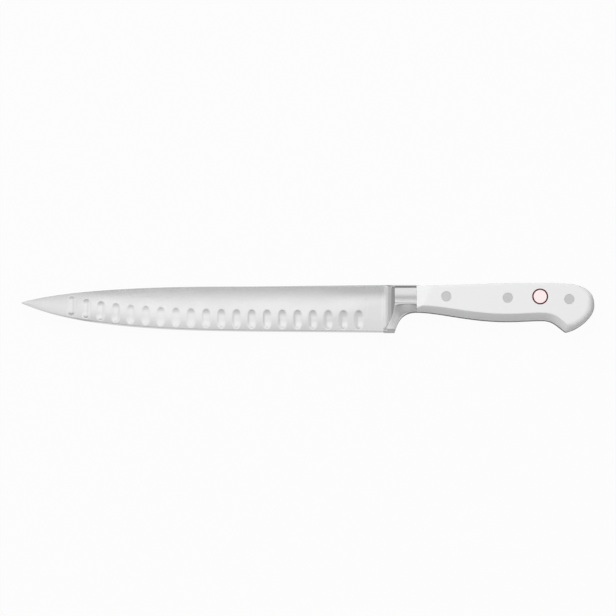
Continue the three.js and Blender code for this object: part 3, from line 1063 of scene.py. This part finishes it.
    def sweep_share(self, x: Array) -> Array:
        """Finds how far the concave sweep, an arc, has risen from the blade to the bolster.

        Args:
            x: Places along the blade and bolster.

        Returns:
            A share of 0 on the blade to 1 at the bolster's crease, which keeps rising beyond it.
        """
        rise = self.bolster.back_half - self.spine_half
        reach = self.bolster.sweep_length
        radius = (reach**2 + rise**2) / (2 * rise)
        run = np.clip(x - self.sweep_x, 0.0, reach)
        beyond = np.maximum(x - self.crease_x, 0.0)
        steep = reach / math.sqrt(radius**2 - reach**2)
        return (radius - np.sqrt(radius**2 - run**2) + beyond * steep) / rise

    def bolster_half(self, x: Array, y: Array) -> Array:
        """Finds the half thickness of the bolster, with the bevel down to its heel and finger curve.

        Args:
            x: Places along the bolster.
            y: Their heights.

        Returns:
            The half thickness at each place.
        """
        shape = self.bolster
        share = np.clip(-x / shape.length, 0.0, 1.0)
        low = np.interp(x, self.finger[:, 0], self.finger[:, 1]) + shape.heel_foot * share
        crease = -lerp(shape.joint_drop, shape.taper_drop, share)
        foot = lerp(shape.joint_foot, shape.heel_half, share)
        up = np.maximum(y - low, 0.0) / (crease - low)
        bevel = foot + (shape.side(crease) - foot) * up ** lerp(1.0, shape.heel_bend, share)
        return smooth_min(shape.side(y), bevel, lerp(shape.bevel_round, shape.heel_round, share))

    def half(self, x: Array, y: Array, side: Side) -> Array:
        """Finds the half thickness of the forging ahead of the joint.

        Args:
            x: Places along the blade and bolster.
            y: Their heights.
            side: The side of the forging.

        Returns:
            The half thickness at each place.
        """
        blade = self.blade_side(x, y) - self.hollow_cut(x, y, side)
        swept = lerp(blade, self.bolster.side(y), self.sweep_share(x))
        return smooth_min(swept, self.bolster_half(x, y), self.bolster.crease_round)

    def stations(self) -> tuple[Array, Array]:
        """Sets out the sections of the blade and bolster.

        Returns:
            The feet and the tops of the sections, from the tip to the joint.
        """
        start = self.tip_x + self.tip_run
        tip = np.linspace(0.0, 1.0, self.tip_sections)[:-1] ** self.tip_crowding
        count = round((self.sweep_x - start) / self.hollow_pitch * self.pitch_sections)
        blade = np.linspace(start, self.sweep_x, count)[:-1]
        swept = np.linspace(1.0, 0.0, self.sweep_sections)[:-1] ** self.crowding
        rise = self.crease_x - self.bolster.sweep_length * swept
        x = np.concatenate([self.tip_x + self.tip_run * tip, blade, rise])
        feet = np.stack([x, self.cutting_line(x)], 1)
        tops = np.stack([x, self.spine_line(x)], 1)
        share = np.linspace(0.0, 1.0, self.bolster_sections) ** self.crowding
        place = np.linspace(0.0, 1.0, len(self.finger))
        finger = np.stack([np.interp(share, place, self.finger[:, axis]) for axis in (0, 1)], 1)
        back = np.stack([lerp(self.crease_x, 0.0, share), np.full_like(share, self.back_rise)], 1)
        return np.concatenate([feet, finger]), np.concatenate([tops, back])

    def sections(self) -> Sections:
        """Measures the sections.

        Returns:
            The sections from the tip to the joint.
        """
        feet, tops = self.stations()
        x, height = feet[:, :1], tops[:, 1:] - feet[:, 1:]
        swept = np.clip(self.sweep_share(x), 0.0, 1.0)
        heel = np.maximum(self.heel_share(x), (x >= self.crease_x).astype(float))
        thick = self.blade_side(tops[:, :1], tops[:, 1:])
        ease = lerp(self.spine_ease, self.bolster.top_ease, swept)
        ease = np.minimum(ease, self.ease_share * thick + self.ease_gain * swept)
        bevel = lerp(self.edge_height(height), self.bolster.foot_ease, heel)
        return Sections(feet, tops, swept, heel, thick, ease, bevel)

    def ease_angles(self) -> Array:
        """Returns the angles at which the points of the rounded spine lie."""
        return math.pi / 2 * even_shares(self.ease_rows)

    def section_points(self, cut: Sections) -> tuple[Array, Array]:
        """Spreads points up the sections.

        Args:
            cut: The sections.

        Returns:
            The points' places along X and Y, a section in each row.
        """
        height = cut.tops[:, 1:] - cut.feet[:, 1:]
        zone = np.minimum(self.hollow_zone, height * self.zone_share - cut.ease)
        foot = cut.bevel * np.linspace(0.0, 1.0, self.foot_rows)
        hollow = lerp(cut.bevel, zone, even_shares(self.zone_rows))
        upper = lerp(zone, height - cut.ease, even_shares(self.upper_rows))
        spine = height - cut.ease * (1.0 - np.sin(self.ease_angles()))
        up = np.concatenate([foot, hollow, upper, spine], 1) / height
        x = lerp(cut.feet[:, :1], cut.tops[:, :1], up)
        return x, lerp(cut.feet[:, 1:], cut.tops[:, 1:], up)

    def section_half(self, cut: Sections, x: Array, y: Array, side: Side) -> Array:
        """Finds the half thickness at the points of the sections, with the edge, foot and spine shaped.

        Args:
            cut: The sections.
            x: Their points along X.
            y: Their points along Y.
            side: The side of the forging.

        Returns:
            The half thickness at each point.
        """
        held = np.clip(y, cut.feet[:, 1:] + cut.bevel, cut.tops[:, 1:] - cut.ease)
        half = self.half(x, held, side)
        foot = half[:, : self.foot_rows]
        part = np.linspace(0.0, 1.0, self.foot_rows)
        ground = lerp(np.minimum(self.edge_half, self.edge_share * cut.thick), foot, part)
        under = np.minimum(self.bolster.foot_ease, self.foot_turn * foot[:, -1:])
        blunt = foot - under * (1.0 - np.sin(part * math.pi / 2))
        half[:, : self.foot_rows] = lerp(ground, blunt, cut.heel)
        half[:, -self.ease_rows :] -= cut.ease * (1.0 - np.cos(self.ease_angles()))
        return half

    def bevel_mark(self, cut: Sections, rings: Array) -> Array:
        """Marks the heel's bevel.

        Args:
            cut: The sections.
            rings: Their points, right round.

        Returns:
            1 on the bevel and 0 elsewhere.
        """
        x, y, thick = rings[..., 0], rings[..., 1], np.abs(rings[..., 2])
        fallen = smooth_step((self.bolster.side(y) - thick) / self.rough_fall)
        near = np.clip(1.0 - (self.bolster_half(x, y) - thick) / self.rough_near, 0.0, 1.0)
        return fallen * near * (y < -self.rough_drop) * cut.heel

    def painted_shade_mark(self, cut: Sections, rings: Array) -> Array:
        """Marks the painted shade: darker steel at the heel and the bolster's underside, the tip and the
        spine.

        Args:
            cut: The sections.
            rings: Their points, right round.

        Returns:
            0 where the steel is as bright as elsewhere, up to 1 where it is darkest.
        """
        x, y = rings[..., 0], rings[..., 1]
        count = self.foot_rows - 1
        dark = np.minimum(1.0, self.foot_painted_shade * np.linspace(1.0, 0.0, self.foot_rows)[:-1])
        under = np.zeros_like(x)
        under[:, :count] = cut.heel * dark
        under[:, -count:] = cut.heel * dark[::-1]
        foot = (y < self.bolster.heel_foot - self.heel_drop) * cut.heel
        behind = smooth_step((x - self.crease_x) / self.painted_shade_blend)
        bare = lerp(self.heel_painted_shade * foot, under, behind)
        # Painted shade towards the tip
        bare += self.tip_painted_shade * self.near_tip(x, self.tip_fade)
        middle, reach = x.shape[1] // 2, self.ease_rows + 1
        # A painted dark line along the spine, standing in for a dark reflection
        bare[:, middle - reach : middle + reach + 1] = self.spine_painted_shade * (1.0 - cut.swept)
        return bare

    def blade_rings(self) -> tuple[Array, dict[Mark, Array]]:
        """Works out the sections of the blade and bolster, right round.

        Returns:
            The sections' points, from the left side's foot over the spine to the right side's, and
            their marks.
        """
        cut = self.sections()
        x, y = self.section_points(cut)
        halves = (self.section_half(cut, x, y, side) * side.value for side in Side)
        left, right = (np.stack([x, y, half], 2) for half in halves)
        rings = np.concatenate([left, left[:, -1:] * [1.0, 1.0, 0.0], right[:, ::-1]], 1)
        depths = [self.hollow_cut(x, y, side) / self.hollow_depth for side in Side]
        hollow = np.concatenate([depths[0], np.zeros_like(x[:, :1]), depths[1][:, ::-1]], 1)
        edge = np.zeros_like(hollow)
        edge[:, : self.foot_rows - 1] = 1.0 - cut.heel
        edge[:, 1 - self.foot_rows :] = 1.0 - cut.heel
        bevelled, bare = self.bevel_mark(cut, rings), self.painted_shade_mark(cut, rings)
        return rings, dict(zip(Mark, (hollow, edge, bevelled, bare)))

    def build_blade(self) -> BMesh:
        """Models the blade and bolster.

        Returns:
            One closed skin, whose vertices carry the marks.
        """
        mesh = wrapped_grid(*self.blade_rings())
        for loop in open_loops(mesh):
            bmesh.ops.contextual_create(mesh, geom=loop)
        return mesh

    def build_tang(self, holes: Sequence[Array], hole_radius: float) -> BMesh:
        """Models the tang as a plate with rivet holes.

        Args:
            holes: The rivets' places.
            hole_radius: The radius of a hole.

        Returns:
            The plate, which reaches a little way into the bolster.
        """
        rim = self.outline.points()
        inset = self.tang_root
        root = np.array([[-inset, rim[-1, 1] + inset], [-inset, -inset]])
        rim = np.concatenate([rim, root])
        mesh = bmesh.new()
        made = bmesh.ops.create_circle(mesh, radius=1.0, segments=len(rim))
        for vertex, point in zip(made["verts"], rim):
            vertex.co = (point[0], point[1], -self.tang_half)
        edges = list(mesh.edges)
        for place in holes:
            edges += round_loop(mesh, place, hole_radius, -self.tang_half)
        bmesh.ops.triangle_fill(mesh, use_beauty=True, use_dissolve=False, edges=edges)
        made = bmesh.ops.extrude_face_region(mesh, geom=list(mesh.faces))["geom"]
        bmesh.ops.translate(mesh, verts=of_kind(made, BMVert), vec=(0.0, 0.0, 2 * self.tang_half))
        bmesh.ops.bevel(
            mesh,
            geom=[edge for edge in mesh.edges if self.shows(edge)],
            offset=self.tang_round,
            segments=self.round_steps,
            profile=0.5,
            affect="EDGES",
            material=-1,
        )
        # Painted shade: the whole tang is darkened, standing in for the shade along its edges under the
        # scales
        bare = mesh.verts.layers.float.new(Mark.BARE.value)
        for vertex in mesh.verts:
            vertex[bare] = 1.0
        return mesh

    def shows(self, edge: BMEdge) -> bool:
        """Tells whether an edge of the tang is a rim of its underside, where the scales leave it bare.

        Args:
            edge: The edge.

        Returns:
            Whether it is.
        """
        first, second = (vertex.co for vertex in edge.verts)
        past = self.outline.length - self.outline.hook_inset + self.round_past_hook
        low = max(first.y, second.y) < -self.round_drop
        within = self.round_start < min(first.x, second.x) and max(first.x, second.x) < past
        level = abs(first.z - second.z) < WELD
        return low and within and level and edge.calc_face_angle(0.0) > math.radians(self.sharp_degrees)

    def dress(self, datum: Datum, holes: Sequence[Array], hole_radius: float) -> None:
        """Builds the forging's pieces and gives them their steel.

        Args:
            datum: Where the knife lies.
            holes: The rivets' places in the tang.
            hole_radius: The radius of the tang's holes.
        """
        steel = GroundSteel().dress(datum.point(self.crease_x, 0.0, 0.0)[0])
        meshes = {"blade_and_bolster": self.build_blade(), "tang_plate": self.build_tang(holes, hole_radius)}
        for name, mesh in meshes.items():
            Piece(name, "forged_blade", Slot.BLADE, self.sharp_degrees).finish(mesh, datum, steel)


@dataclass(frozen=True)
class Rivets:
    """Places and sizes of the three cutler's rivets."""

    outline: HandleOutline
    front: float = 18.3
    front_drop: float = 6.7
    rear_inset: float = 15.6
    rear_drop: float = 8.4
    head_radius: float = 3.05
    head_height: float = 1.8
    sleeve_radius: float = 2.0
    pin_radius: float = 1.25
    overlap: float = 2.5
    shortfall: float = 0.6
    gap: float = 0.05
    chamfer: float = 0.12
    sharp_degrees: float = 30.0
    names: tuple[str, str, str] = ("front", "middle", "rear")

    def places(self) -> list[Array]:
        """Sets the rivets out along the handle.

        Returns:
            Their places, from the front.
        """
        front = np.array([self.front, -self.front_drop])
        rear = np.array([self.outline.length - self.rear_inset, -self.rear_drop])
        return [front, (front + rear) / 2, rear]

    def section(self, half: RivetHalf) -> list[Span]:
        """Draws half of a section through one half of a rivet.

        Args:
            half: Which half of the rivet.

        Returns:
            Radii and heights, from the axis back to the axis.
        """
        face, seat = self.outline.face, self.outline.face - self.head_height
        head = [
            (self.sleeve_radius, seat),
            (self.head_radius, seat),
            (self.head_radius, face - self.chamfer),
            (self.head_radius - self.chamfer, face),
            (0.0, face),
        ]
        if half is RivetHalf.SLEEVE:
            bore = self.pin_radius + self.gap
            tube = [(0.0, seat), (bore, seat), (bore, -self.overlap), (self.sleeve_radius, -self.overlap)]
            return tube + head
        foot, end = -self.overlap - self.gap, seat - self.shortfall
        pin = [(self.sleeve_radius, foot), (self.pin_radius, foot), (self.pin_radius, end), (0.0, end)]
        return [(radius, -height) for radius, height in reversed(head)] + pin

    def dress(self, datum: Datum) -> None:
        """Builds the six halves and gives them their steel.

        Args:
            datum: Where the knife lies.
        """
        steel = RivetSteel().dress()
        for name, place in zip(self.names, self.places()):
            for half in RivetHalf:
                node = f"{name}_rivet_{half.value}"
                piece = Piece(node + "_looks", node, Slot.RIVET, self.sharp_degrees)
                piece.finish(turned(self.section(half), place), datum, steel)


@dataclass(frozen=True)
class Badge:
    """The round inlay in the left scale, with no mark on it, between the middle and rear rivets."""

    rivets: Rivets
    shift: float = 1.0
    drop: float = 6.8
    radius: float = 4.9
    thickness: float = 1.2
    chamfer: float = 0.12
    sharp_degrees: float = 30.0

    def place(self) -> Array:
        """Returns the badge's place along the handle."""
        _, middle, rear = self.rivets.places()
        return np.array([(middle[0] + rear[0]) / 2 + self.shift, -self.drop])

    def dress(self, datum: Datum) -> None:
        """Builds the badge and gives it its inlay.

        Args:
            datum: Where the knife lies.
        """
        face, place = self.rivets.outline.face, self.place()
        low, edge = face - self.thickness, self.chamfer
        rim = [(self.radius, low), (self.radius, face - edge), (self.radius - edge, face)]
        inlay = BadgeInlay().dress(datum.point(*place, face))
        piece = Piece("badge_disc_looks", "badge_disc", Slot.BADGE, self.sharp_degrees)
        piece.finish(turned([(0.0, low), *rim, (0.0, face)], place), datum, inlay)


@dataclass(frozen=True)
class Rim:
    """A scale's bevel at one place of its outline: straight or bulging, with some tang left bare."""

    width: float
    depth: float
    bulge: float
    # How far the scale stops short of the outline, leaving tang uncovered, where the tang's painted shade
    # shows
    bare: float

    def toward(self, other: "Rim", share: float) -> "Rim":
        """Returns the bevel that lies that share of the way to another one."""
        return Rim(*(lerp(mine, theirs, share) for mine, theirs in zip(astuple(self), astuple(other))))


@dataclass(frozen=True)
class Scales:
    """The two white scales that cover the tang."""

    outline: HandleOutline
    bolster: Bolster
    rivets: Rivets
    badge: Badge
    floor: float = 1.55
    seat: float = 0.05
    bore_gap: float = 0.02
    sharp_degrees: float = 42.0
    # Bevels round the outline
    top_rim: Rim = Rim(1.1, 1.1, 1.0, 0.0)
    butt_rim: Rim = Rim(4.6, 4.6, 1.0, 0.4)
    hook_rim: Rim = Rim(4.6, 5.3, 0.3, 0.55)
    low_rim: Rim = Rim(4.6, 6.5, 0.15, 0.65)
    front_rim: Rim = Rim(3.9, 5.5, 0.15, 0.65)
    rim_lag: float = 3.0
    hook_blend: float = 6.0
    crease_round: float = 0.6
    wall_margin: float = 0.15
    # Ramp down to the bolster. The cuts are a first place, an end and a step
    ramp_length: float = 9.2
    ramp_slant: float = 0.48
    ramp_round: float = 0.5
    ramp_reach: float = 12.6
    ramp_least: float = 1.0
    ramp_cuts: Triple = (-9.0, 3.6, 0.4)
    cross_cuts: Triple = (-1.9, -16.0, -0.9)
    # Shares of a bevel's climb at which it is drawn, and of its width beyond it
    rises: tuple[float, ...] = (
        0.02, 0.08, 0.16, 0.26, 0.36, 0.46, 0.56, 0.64, 0.72, 0.78,
        0.84, 0.89, 0.93, 0.97, 1.0, 1.03, 1.06, 1.1, 1.14, 1.2, 1.26,
    )

    def rims(self) -> list[Rim]:
        """Spreads the bevels round the outline, each changing late or early into the next.

        Returns:
            The bevel at each point of the outline.
        """
        late, early = self.rim_lag, 1.0 / self.rim_lag
        changes = {
            "back": (self.top_rim, self.top_rim, late),
            "butt_top": (self.top_rim, self.butt_rim, late),
            "butt_low": (self.butt_rim, self.hook_rim, late),
            "hook_rise": (self.hook_rim, self.low_rim, early),
            "belly_rear": (self.low_rim, self.low_rim, late),
            "belly_front": (self.low_rim, self.front_rim, late),
        }
        rims = []
        for name, curve in self.outline.stretches().items():
            first, second, lag = changes[name]
            steps = len(curve) - 1
            rims += [first.toward(second, (step / steps) ** lag) for step in range(steps)]
        return rims + [self.front_rim]

    def inward(self) -> Array:
        """Finds the direction into the scale round its outline, eased at the hook's tip.

        Returns:
            The direction at each point of the outline.
        """
        points = self.outline.points()
        tangent = np.gradient(points, axis=0)
        tangent[0], tangent[-1] = (1.0, 0.0), (-1.0, 0.0)
        tangent /= np.hypot(*tangent.T)[:, None]
        square = np.stack([tangent[:, 1], -tangent[:, 0]], 1)
        hook = self.outline.hook_place()
        run = arc_lengths(points)
        corner = square[hook - 1] + square[hook + 1]
        corner /= corner @ square[hook + 1]
        share = 1.0 - smooth_step(np.abs(run - run[hook]) / self.hook_blend)
        return lerp(square, corner, share[:, None])

    def ramp(self, x: Array, y: Array) -> Array:
        """Finds the height of the face, with the ramp that brings it down to the bolster.

        Args:
            x: Places along the scale.
            y: Their heights on the handle.

        Returns:
            The face's height above the mid-plane at each place.
        """
        low, face = self.bolster.side(y), self.outline.face
        run = np.maximum(self.ramp_length + self.ramp_slant * y, self.ramp_least)
        slope = (face - low) / run
        return smooth_min(low + slope * (x - self.seat), np.full_like(x, face), self.ramp_round)

    def rings(self) -> Array:
        """Draws a scale from its floor, up its rim, to its face.

        Returns:
            Rings of points, one above the other.
        """
        inward, face = self.inward(), self.outline.face
        width, depth, bulge, bare = np.array([astuple(rim) for rim in self.rims()]).T
        points = self.outline.points() + [self.seat, 0.0]
        settle = (face - self.ramp(*(points + inward * width[:, None]).T)) * bulge
        settle *= smooth_step((bulge - self.low_rim.bulge) / (1.0 - self.low_rim.bulge))
        foot = face - depth - settle
        wall = points + inward * bare[:, None]
        rings = [np.column_stack([wall, np.full_like(foot, self.floor)])]
        rings.append(np.column_stack([wall, foot - self.wall_margin]))
        reach = np.maximum(self.crease_round * (1.0 - bulge), TINY)
        for rise in self.rises:
            held, past = min(rise, 1.0), max(rise - 1.0, 0.0)
            quarter = held * math.pi / 2
            inset = width * (lerp(held, 1.0 - math.cos(quarter), bulge) + past)
            climb = depth * (lerp(held, math.sin(quarter), bulge) + past * (1.0 - bulge))
            spot = wall + inward * inset[:, None]
            rings.append(np.column_stack([spot, smooth_min(foot + climb, self.ramp(*spot.T), reach)]))
        return np.stack(rings)

    def build(self, side: Side) -> BMesh:
        """Models one scale.

        Args:
            side: The side of the knife that it covers. Only the left one has the badge's pocket.

        Returns:
            The closed scale.
        """
        mesh = wrapped_grid(self.rings(), {})
        bmesh.ops.contextual_create(mesh, geom=max(open_loops(mesh), key=loop_top))
        cap = max(mesh.faces, key=lambda face: len(face.verts))
        cut = bmesh.ops.bisect_plane(
            mesh,
            geom=[cap, *cap.edges, *cap.verts],
            dist=WELD,
            plane_co=(self.ramp_reach, 0.0, 0.0),
            plane_no=(1.0, 0.0, 0.0),
        )
        caps = of_kind(cut["geom"], BMFace)
        front, rear = sorted(caps, key=lambda face: face.calc_center_median().x)
        self.shape_ramp(mesh, front)
        self.bore(mesh, rear, side)
        if side is Side.RIGHT:
            bmesh.ops.scale(mesh, verts=mesh.verts, vec=(1.0, 1.0, -1.0))
        return mesh

    def shape_ramp(self, mesh: BMesh, front: BMFace) -> None:
        """Cuts the front of the face into strips and lowers them to the ramp.

        Args:
            mesh: The scale.
            front: The part of its face that lies ahead of the rivets.
        """
        slanted = Vector((1.0, -self.ramp_slant, 0.0)).normalized()
        cuts = [((self.ramp_length + step, 0.0, 0.0), slanted) for step in np.arange(*self.ramp_cuts)]
        cuts += [((0.0, y, 0.0), (0.0, 1.0, 0.0)) for y in np.arange(*self.cross_cuts)]
        faces = [front]
        for place, across in cuts:
            geom = list(dict.fromkeys(item for face in faces for item in (face, *face.edges, *face.verts)))
            made = bmesh.ops.bisect_plane(mesh, geom=geom, dist=WELD, plane_co=place, plane_no=across)
            faces = of_kind(made["geom"], BMFace)
        vertices = list({vertex for face in faces for vertex in face.verts})
        x, y = (np.array([vertex.co[axis] for vertex in vertices]) for axis in (0, 1))
        for vertex, z in zip(vertices, self.ramp(x, y)):
            vertex.co.z = z

    def bore(self, mesh: BMesh, rear: BMFace, side: Side) -> None:
        """Opens the rear of the face and the floor round the rivets, and sinks the badge's pocket.

        Args:
            mesh: The scale, with an open floor.
            rear: The part of its face behind the ramp.
            side: The side of the knife that the scale covers.
        """
        shape, face = self.rivets, self.outline.face
        rim = list(rear.edges)
        bmesh.ops.delete(mesh, geom=[rear], context="FACES_ONLY")
        head, hole = shape.head_radius + self.bore_gap, shape.sleeve_radius + self.bore_gap
        seat = face - shape.head_height - self.bore_gap
        low = [loop for loop in open_loops(mesh) if loop_top(loop) < self.floor + WELD]
        floor_edges = [edge for loop in low for edge in loop]
        for place in shape.places():
            loop = round_loop(mesh, place, head, face)
            rim += loop
            loop = extrude_loop(mesh, loop, place, head, seat)
            loop = extrude_loop(mesh, loop, place, hole, seat)
            floor_edges += extrude_loop(mesh, loop, place, hole, self.floor)
        if side is Side.LEFT:
            place, radius = self.badge.place(), self.badge.radius + self.bore_gap
            loop = round_loop(mesh, place, radius, face)
            rim += loop
            bottom = face - self.badge.thickness - self.bore_gap
            bmesh.ops.contextual_create(mesh, geom=extrude_loop(mesh, loop, place, radius, bottom))
        for edges in (rim, floor_edges):
            bmesh.ops.triangle_fill(mesh, use_beauty=True, use_dissolve=False, edges=edges)

    def dress(self, datum: Datum) -> None:
        """Builds both scales and gives them their plastic.

        Args:
            datum: Where the knife lies.
        """
        plastic = WhitePlastic().dress()
        for side in Side:
            node = f"{side.name.lower()}_scale"
            piece = Piece(node + "_looks", node, Slot.SCALE, self.sharp_degrees)
            piece.finish(self.build(side), datum, plastic)


@dataclass(frozen=True)
class Lamp:
    """A soft box or strip, which hangs out of the camera's sight and faces a point near the knife."""

    name: str
    place: Triple
    width: float
    height: float
    radiance: float
    reach: Reach = Reach.SHINY
    aim: Triple = (0.0, 0.0, 0.0)

    @classmethod
    def overhead(
        cls, name: str, level: float, along: Span, across: Span, radiance: float, reach: Reach = Reach.SHINY
    ) -> "Lamp":
        """Sets out a lamp that hangs level above the knife.

        Args:
            name: Its name.
            level: How high it hangs.
            along: Its two ends along X.
            across: Its two sides along Y.
            radiance: How bright it is.
            reach: The surfaces that it lights.

        Returns:
            The lamp.
        """
        x, y = sum(along) / 2, sum(across) / 2
        size = (along[1] - along[0], across[1] - across[0])
        return cls(name, (x, y, level), *size, radiance, reach, (x, y, 0.0))

    @classmethod
    def wall(cls, name: str, place: Span, height: float, radiance: float) -> "Lamp":
        """Sets out a lamp that stands on the floor like a wall and faces the knife.

        Args:
            name: Its name.
            place: Where it stands along X and Y.
            height: How high it is.
            radiance: How bright it is.

        Returns:
            The lamp, as wide as the room between two walls.
        """
        width = 2 * math.hypot(*place)
        return cls(name, (*place, height / 2), width, height, radiance, aim=(0.0, 0.0, height / 2))

    def hang(self) -> None:
        """Adds the lamp to the scene."""
        data = bpy.data.lights.new(self.name, "AREA")
        data.shape = "RECTANGLE"
        data.size, data.size_y = self.width, self.height
        data.energy = self.radiance * math.pi * self.width * self.height
        lamp = bpy.data.objects.new(self.name, data)
        lamp.location = self.place
        toward = Vector(self.aim) - Vector(self.place)
        lamp.rotation_euler = toward.to_track_quat("-Z", "Y").to_euler()
        lamp.visible_camera = False
        lamp.visible_diffuse, lamp.visible_glossy = self.reach.value
        bpy.context.scene.collection.objects.link(lamp)
        LOG.info("%s: radiance %.2f", self.name, self.radiance)


# Bands across the knife and runs along it that several lamps share
FRONT_BAND: Span = (-0.1, -0.012)
NEAR_BAND: Span = (-0.085, -0.012)
WHOLE_RUN: Span = (-1.55, 1.25)


@dataclass(frozen=True)
class Studio:
    """A plain pale floor, soft lamps and a long lens straight above the knife."""

    floor_size: float = 8.0
    floor_drop: float = 0.0002
    floor_tone: float = 0.4
    floor_glow: float = 0.96
    sky: float = 0.25
    focal_length: float = 600.0
    sensor: float = 36.0
    frame_width: float = 0.3798
    focus_height: float = 0.0097
    camera_x: float = 0.00006
    sight: float = 4.0
    lamps: tuple[Lamp, ...] = (
        Lamp("key", (-0.5, 1.1, 1.55), 1.2, 1.2, 7.3, Reach.MATT),
        Lamp("fill", (-0.3, -1.9, 0.9), 1.6, 0.9, 0.9, Reach.MATT),
        Lamp.overhead("canopy", 1.0, WHOLE_RUN, (-1.0, 0.25), 0.36, Reach.ALL),
        Lamp.overhead("front_strip_far", 0.988, (-1.3, 0.085), FRONT_BAND, 0.2),
        Lamp.overhead("front_strip_long", 0.986, (-0.85, 0.085), FRONT_BAND, 0.3),
        Lamp.overhead("front_strip_middle", 0.984, (-0.5, 0.085), FRONT_BAND, 0.18),
        Lamp.overhead("front_strip_near", 0.982, (-0.23, 0.085), NEAR_BAND, 0.2),
        Lamp.overhead("front_strip_core", 0.98, (-0.23, 0.025), NEAR_BAND, 0.07),
        Lamp.overhead("front_strip_right", 0.984, (0.085, 0.55), FRONT_BAND, 0.25),
        Lamp.overhead("front_apron", 0.98, (-1.3, 0.26), (-0.17, -0.1), 0.3),
        Lamp.overhead("edge_strip", 0.98, WHOLE_RUN, (-0.57, -0.35), 0.45),
        Lamp.overhead("heel_strip", 0.98, WHOLE_RUN, (-1.8, -0.57), 0.62),
        Lamp.overhead("back_strip", 0.98, (-1.15, 0.15), (0.06, 0.31), 0.7),
        Lamp.overhead("rivet_panel", 0.98, (0.12, 0.48), (-0.25, 0.25), 0.27),
        Lamp.overhead("left_panel", 0.97, (-1.705, -0.3), (-0.15, 0.15), 0.2),
        Lamp.wall("west_wall", (-2.4, 0.0), 1.7, 0.48),
        Lamp.wall("east_wall", (2.4, 0.0), 1.4, 0.75),
        Lamp.wall("south_wall", (0.0, -2.4), 1.4, 0.18),
        Lamp.wall("north_wall", (0.0, 2.4), 1.4, 0.3),
    )

    def build_floor(self) -> None:
        """Adds the floor, which looks white and still takes a faint shadow."""
        mesh = bmesh.new()
        matrix = Matrix.Translation((0.0, 0.0, -self.floor_drop))
        bmesh.ops.create_grid(mesh, x_segments=1, y_segments=1, size=self.floor_size / 2, matrix=matrix)
        data = bpy.data.meshes.new("studio_floor")
        mesh.to_mesh(data)
        mesh.free()
        data.materials.append(self.floor_material())
        floor = bpy.data.objects.new("studio_floor", data)
        bpy.context.scene.collection.objects.link(floor)

    def floor_material(self) -> bpy.types.Material:
        """Makes the floor's white, which the camera, metal and glass see, over a matt grey.

        Returns:
            The finished material.
        """
        material, recipe = new_material("studio_floor")
        path = recipe.node("ShaderNodeLightPath", {}, {})
        seen = ("Is Camera Ray", "Is Glossy Ray", "Is Transmission Ray")
        camera, glossy, through = (Value(recipe, path.outputs[name]) for name in seen)
        shown = camera.larger(glossy).larger(through) * self.floor_glow
        matt = recipe.node("ShaderNodeBsdfDiffuse", {}, {"Color": grey(self.floor_tone)})
        glow = recipe.node("ShaderNodeEmission", {}, {"Color": grey(1.0), "Strength": 1.0})
        recipe.surface("ShaderNodeMixShader", {0: shown, 1: matt.outputs[0], 2: glow.outputs[0]})
        return material

    def light(self) -> None:
        """Adds the grey surroundings and the lamps."""
        world = bpy.data.worlds.new("studio")
        world.use_nodes = True
        recipe = Recipe(world.node_tree)
        sky = recipe.node("ShaderNodeBackground", {}, {"Color": grey(self.sky), "Strength": 1.0})
        recipe.node("ShaderNodeOutputWorld", {}, {"Surface": sky.outputs[0]})
        bpy.context.scene.world = world
        for lamp in self.lamps:
            lamp.hang()

    def set_camera(self) -> None:
        """Adds the camera, straight above the middle of the knife with the spine upwards."""
        data = bpy.data.cameras.new("camera")
        data.lens, data.sensor_width = self.focal_length, self.sensor
        distance = self.frame_width * self.focal_length / self.sensor
        data.clip_end = self.sight * distance
        camera = bpy.data.objects.new("camera", data)
        camera.location = (self.camera_x, 0.0, self.focus_height + distance)
        bpy.context.scene.collection.objects.link(camera)
        bpy.context.scene.camera = camera

    def build(self) -> None:
        """Sets up the floor, the light and the camera."""
        self.build_floor()
        self.light()
        self.set_camera()
        bpy.context.scene.view_settings.view_transform = "Standard"


def main() -> None:
    """Builds the knife piece by piece."""
    logging.basicConfig(level=logging.INFO, format="%(message)s")
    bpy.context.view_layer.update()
    outline = HandleOutline()
    forging = Forging(outline)
    rivets = Rivets(outline)
    badge = Badge(rivets)
    datum = Datum.of_frame(forging)
    forging.dress(datum, rivets.places(), rivets.sleeve_radius + rivets.gap)
    Scales(outline, forging.bolster, rivets, badge).dress(datum)
    rivets.dress(datum)
    badge.dress(datum)
    Studio().build()


if __name__ == "__main__":
    main()
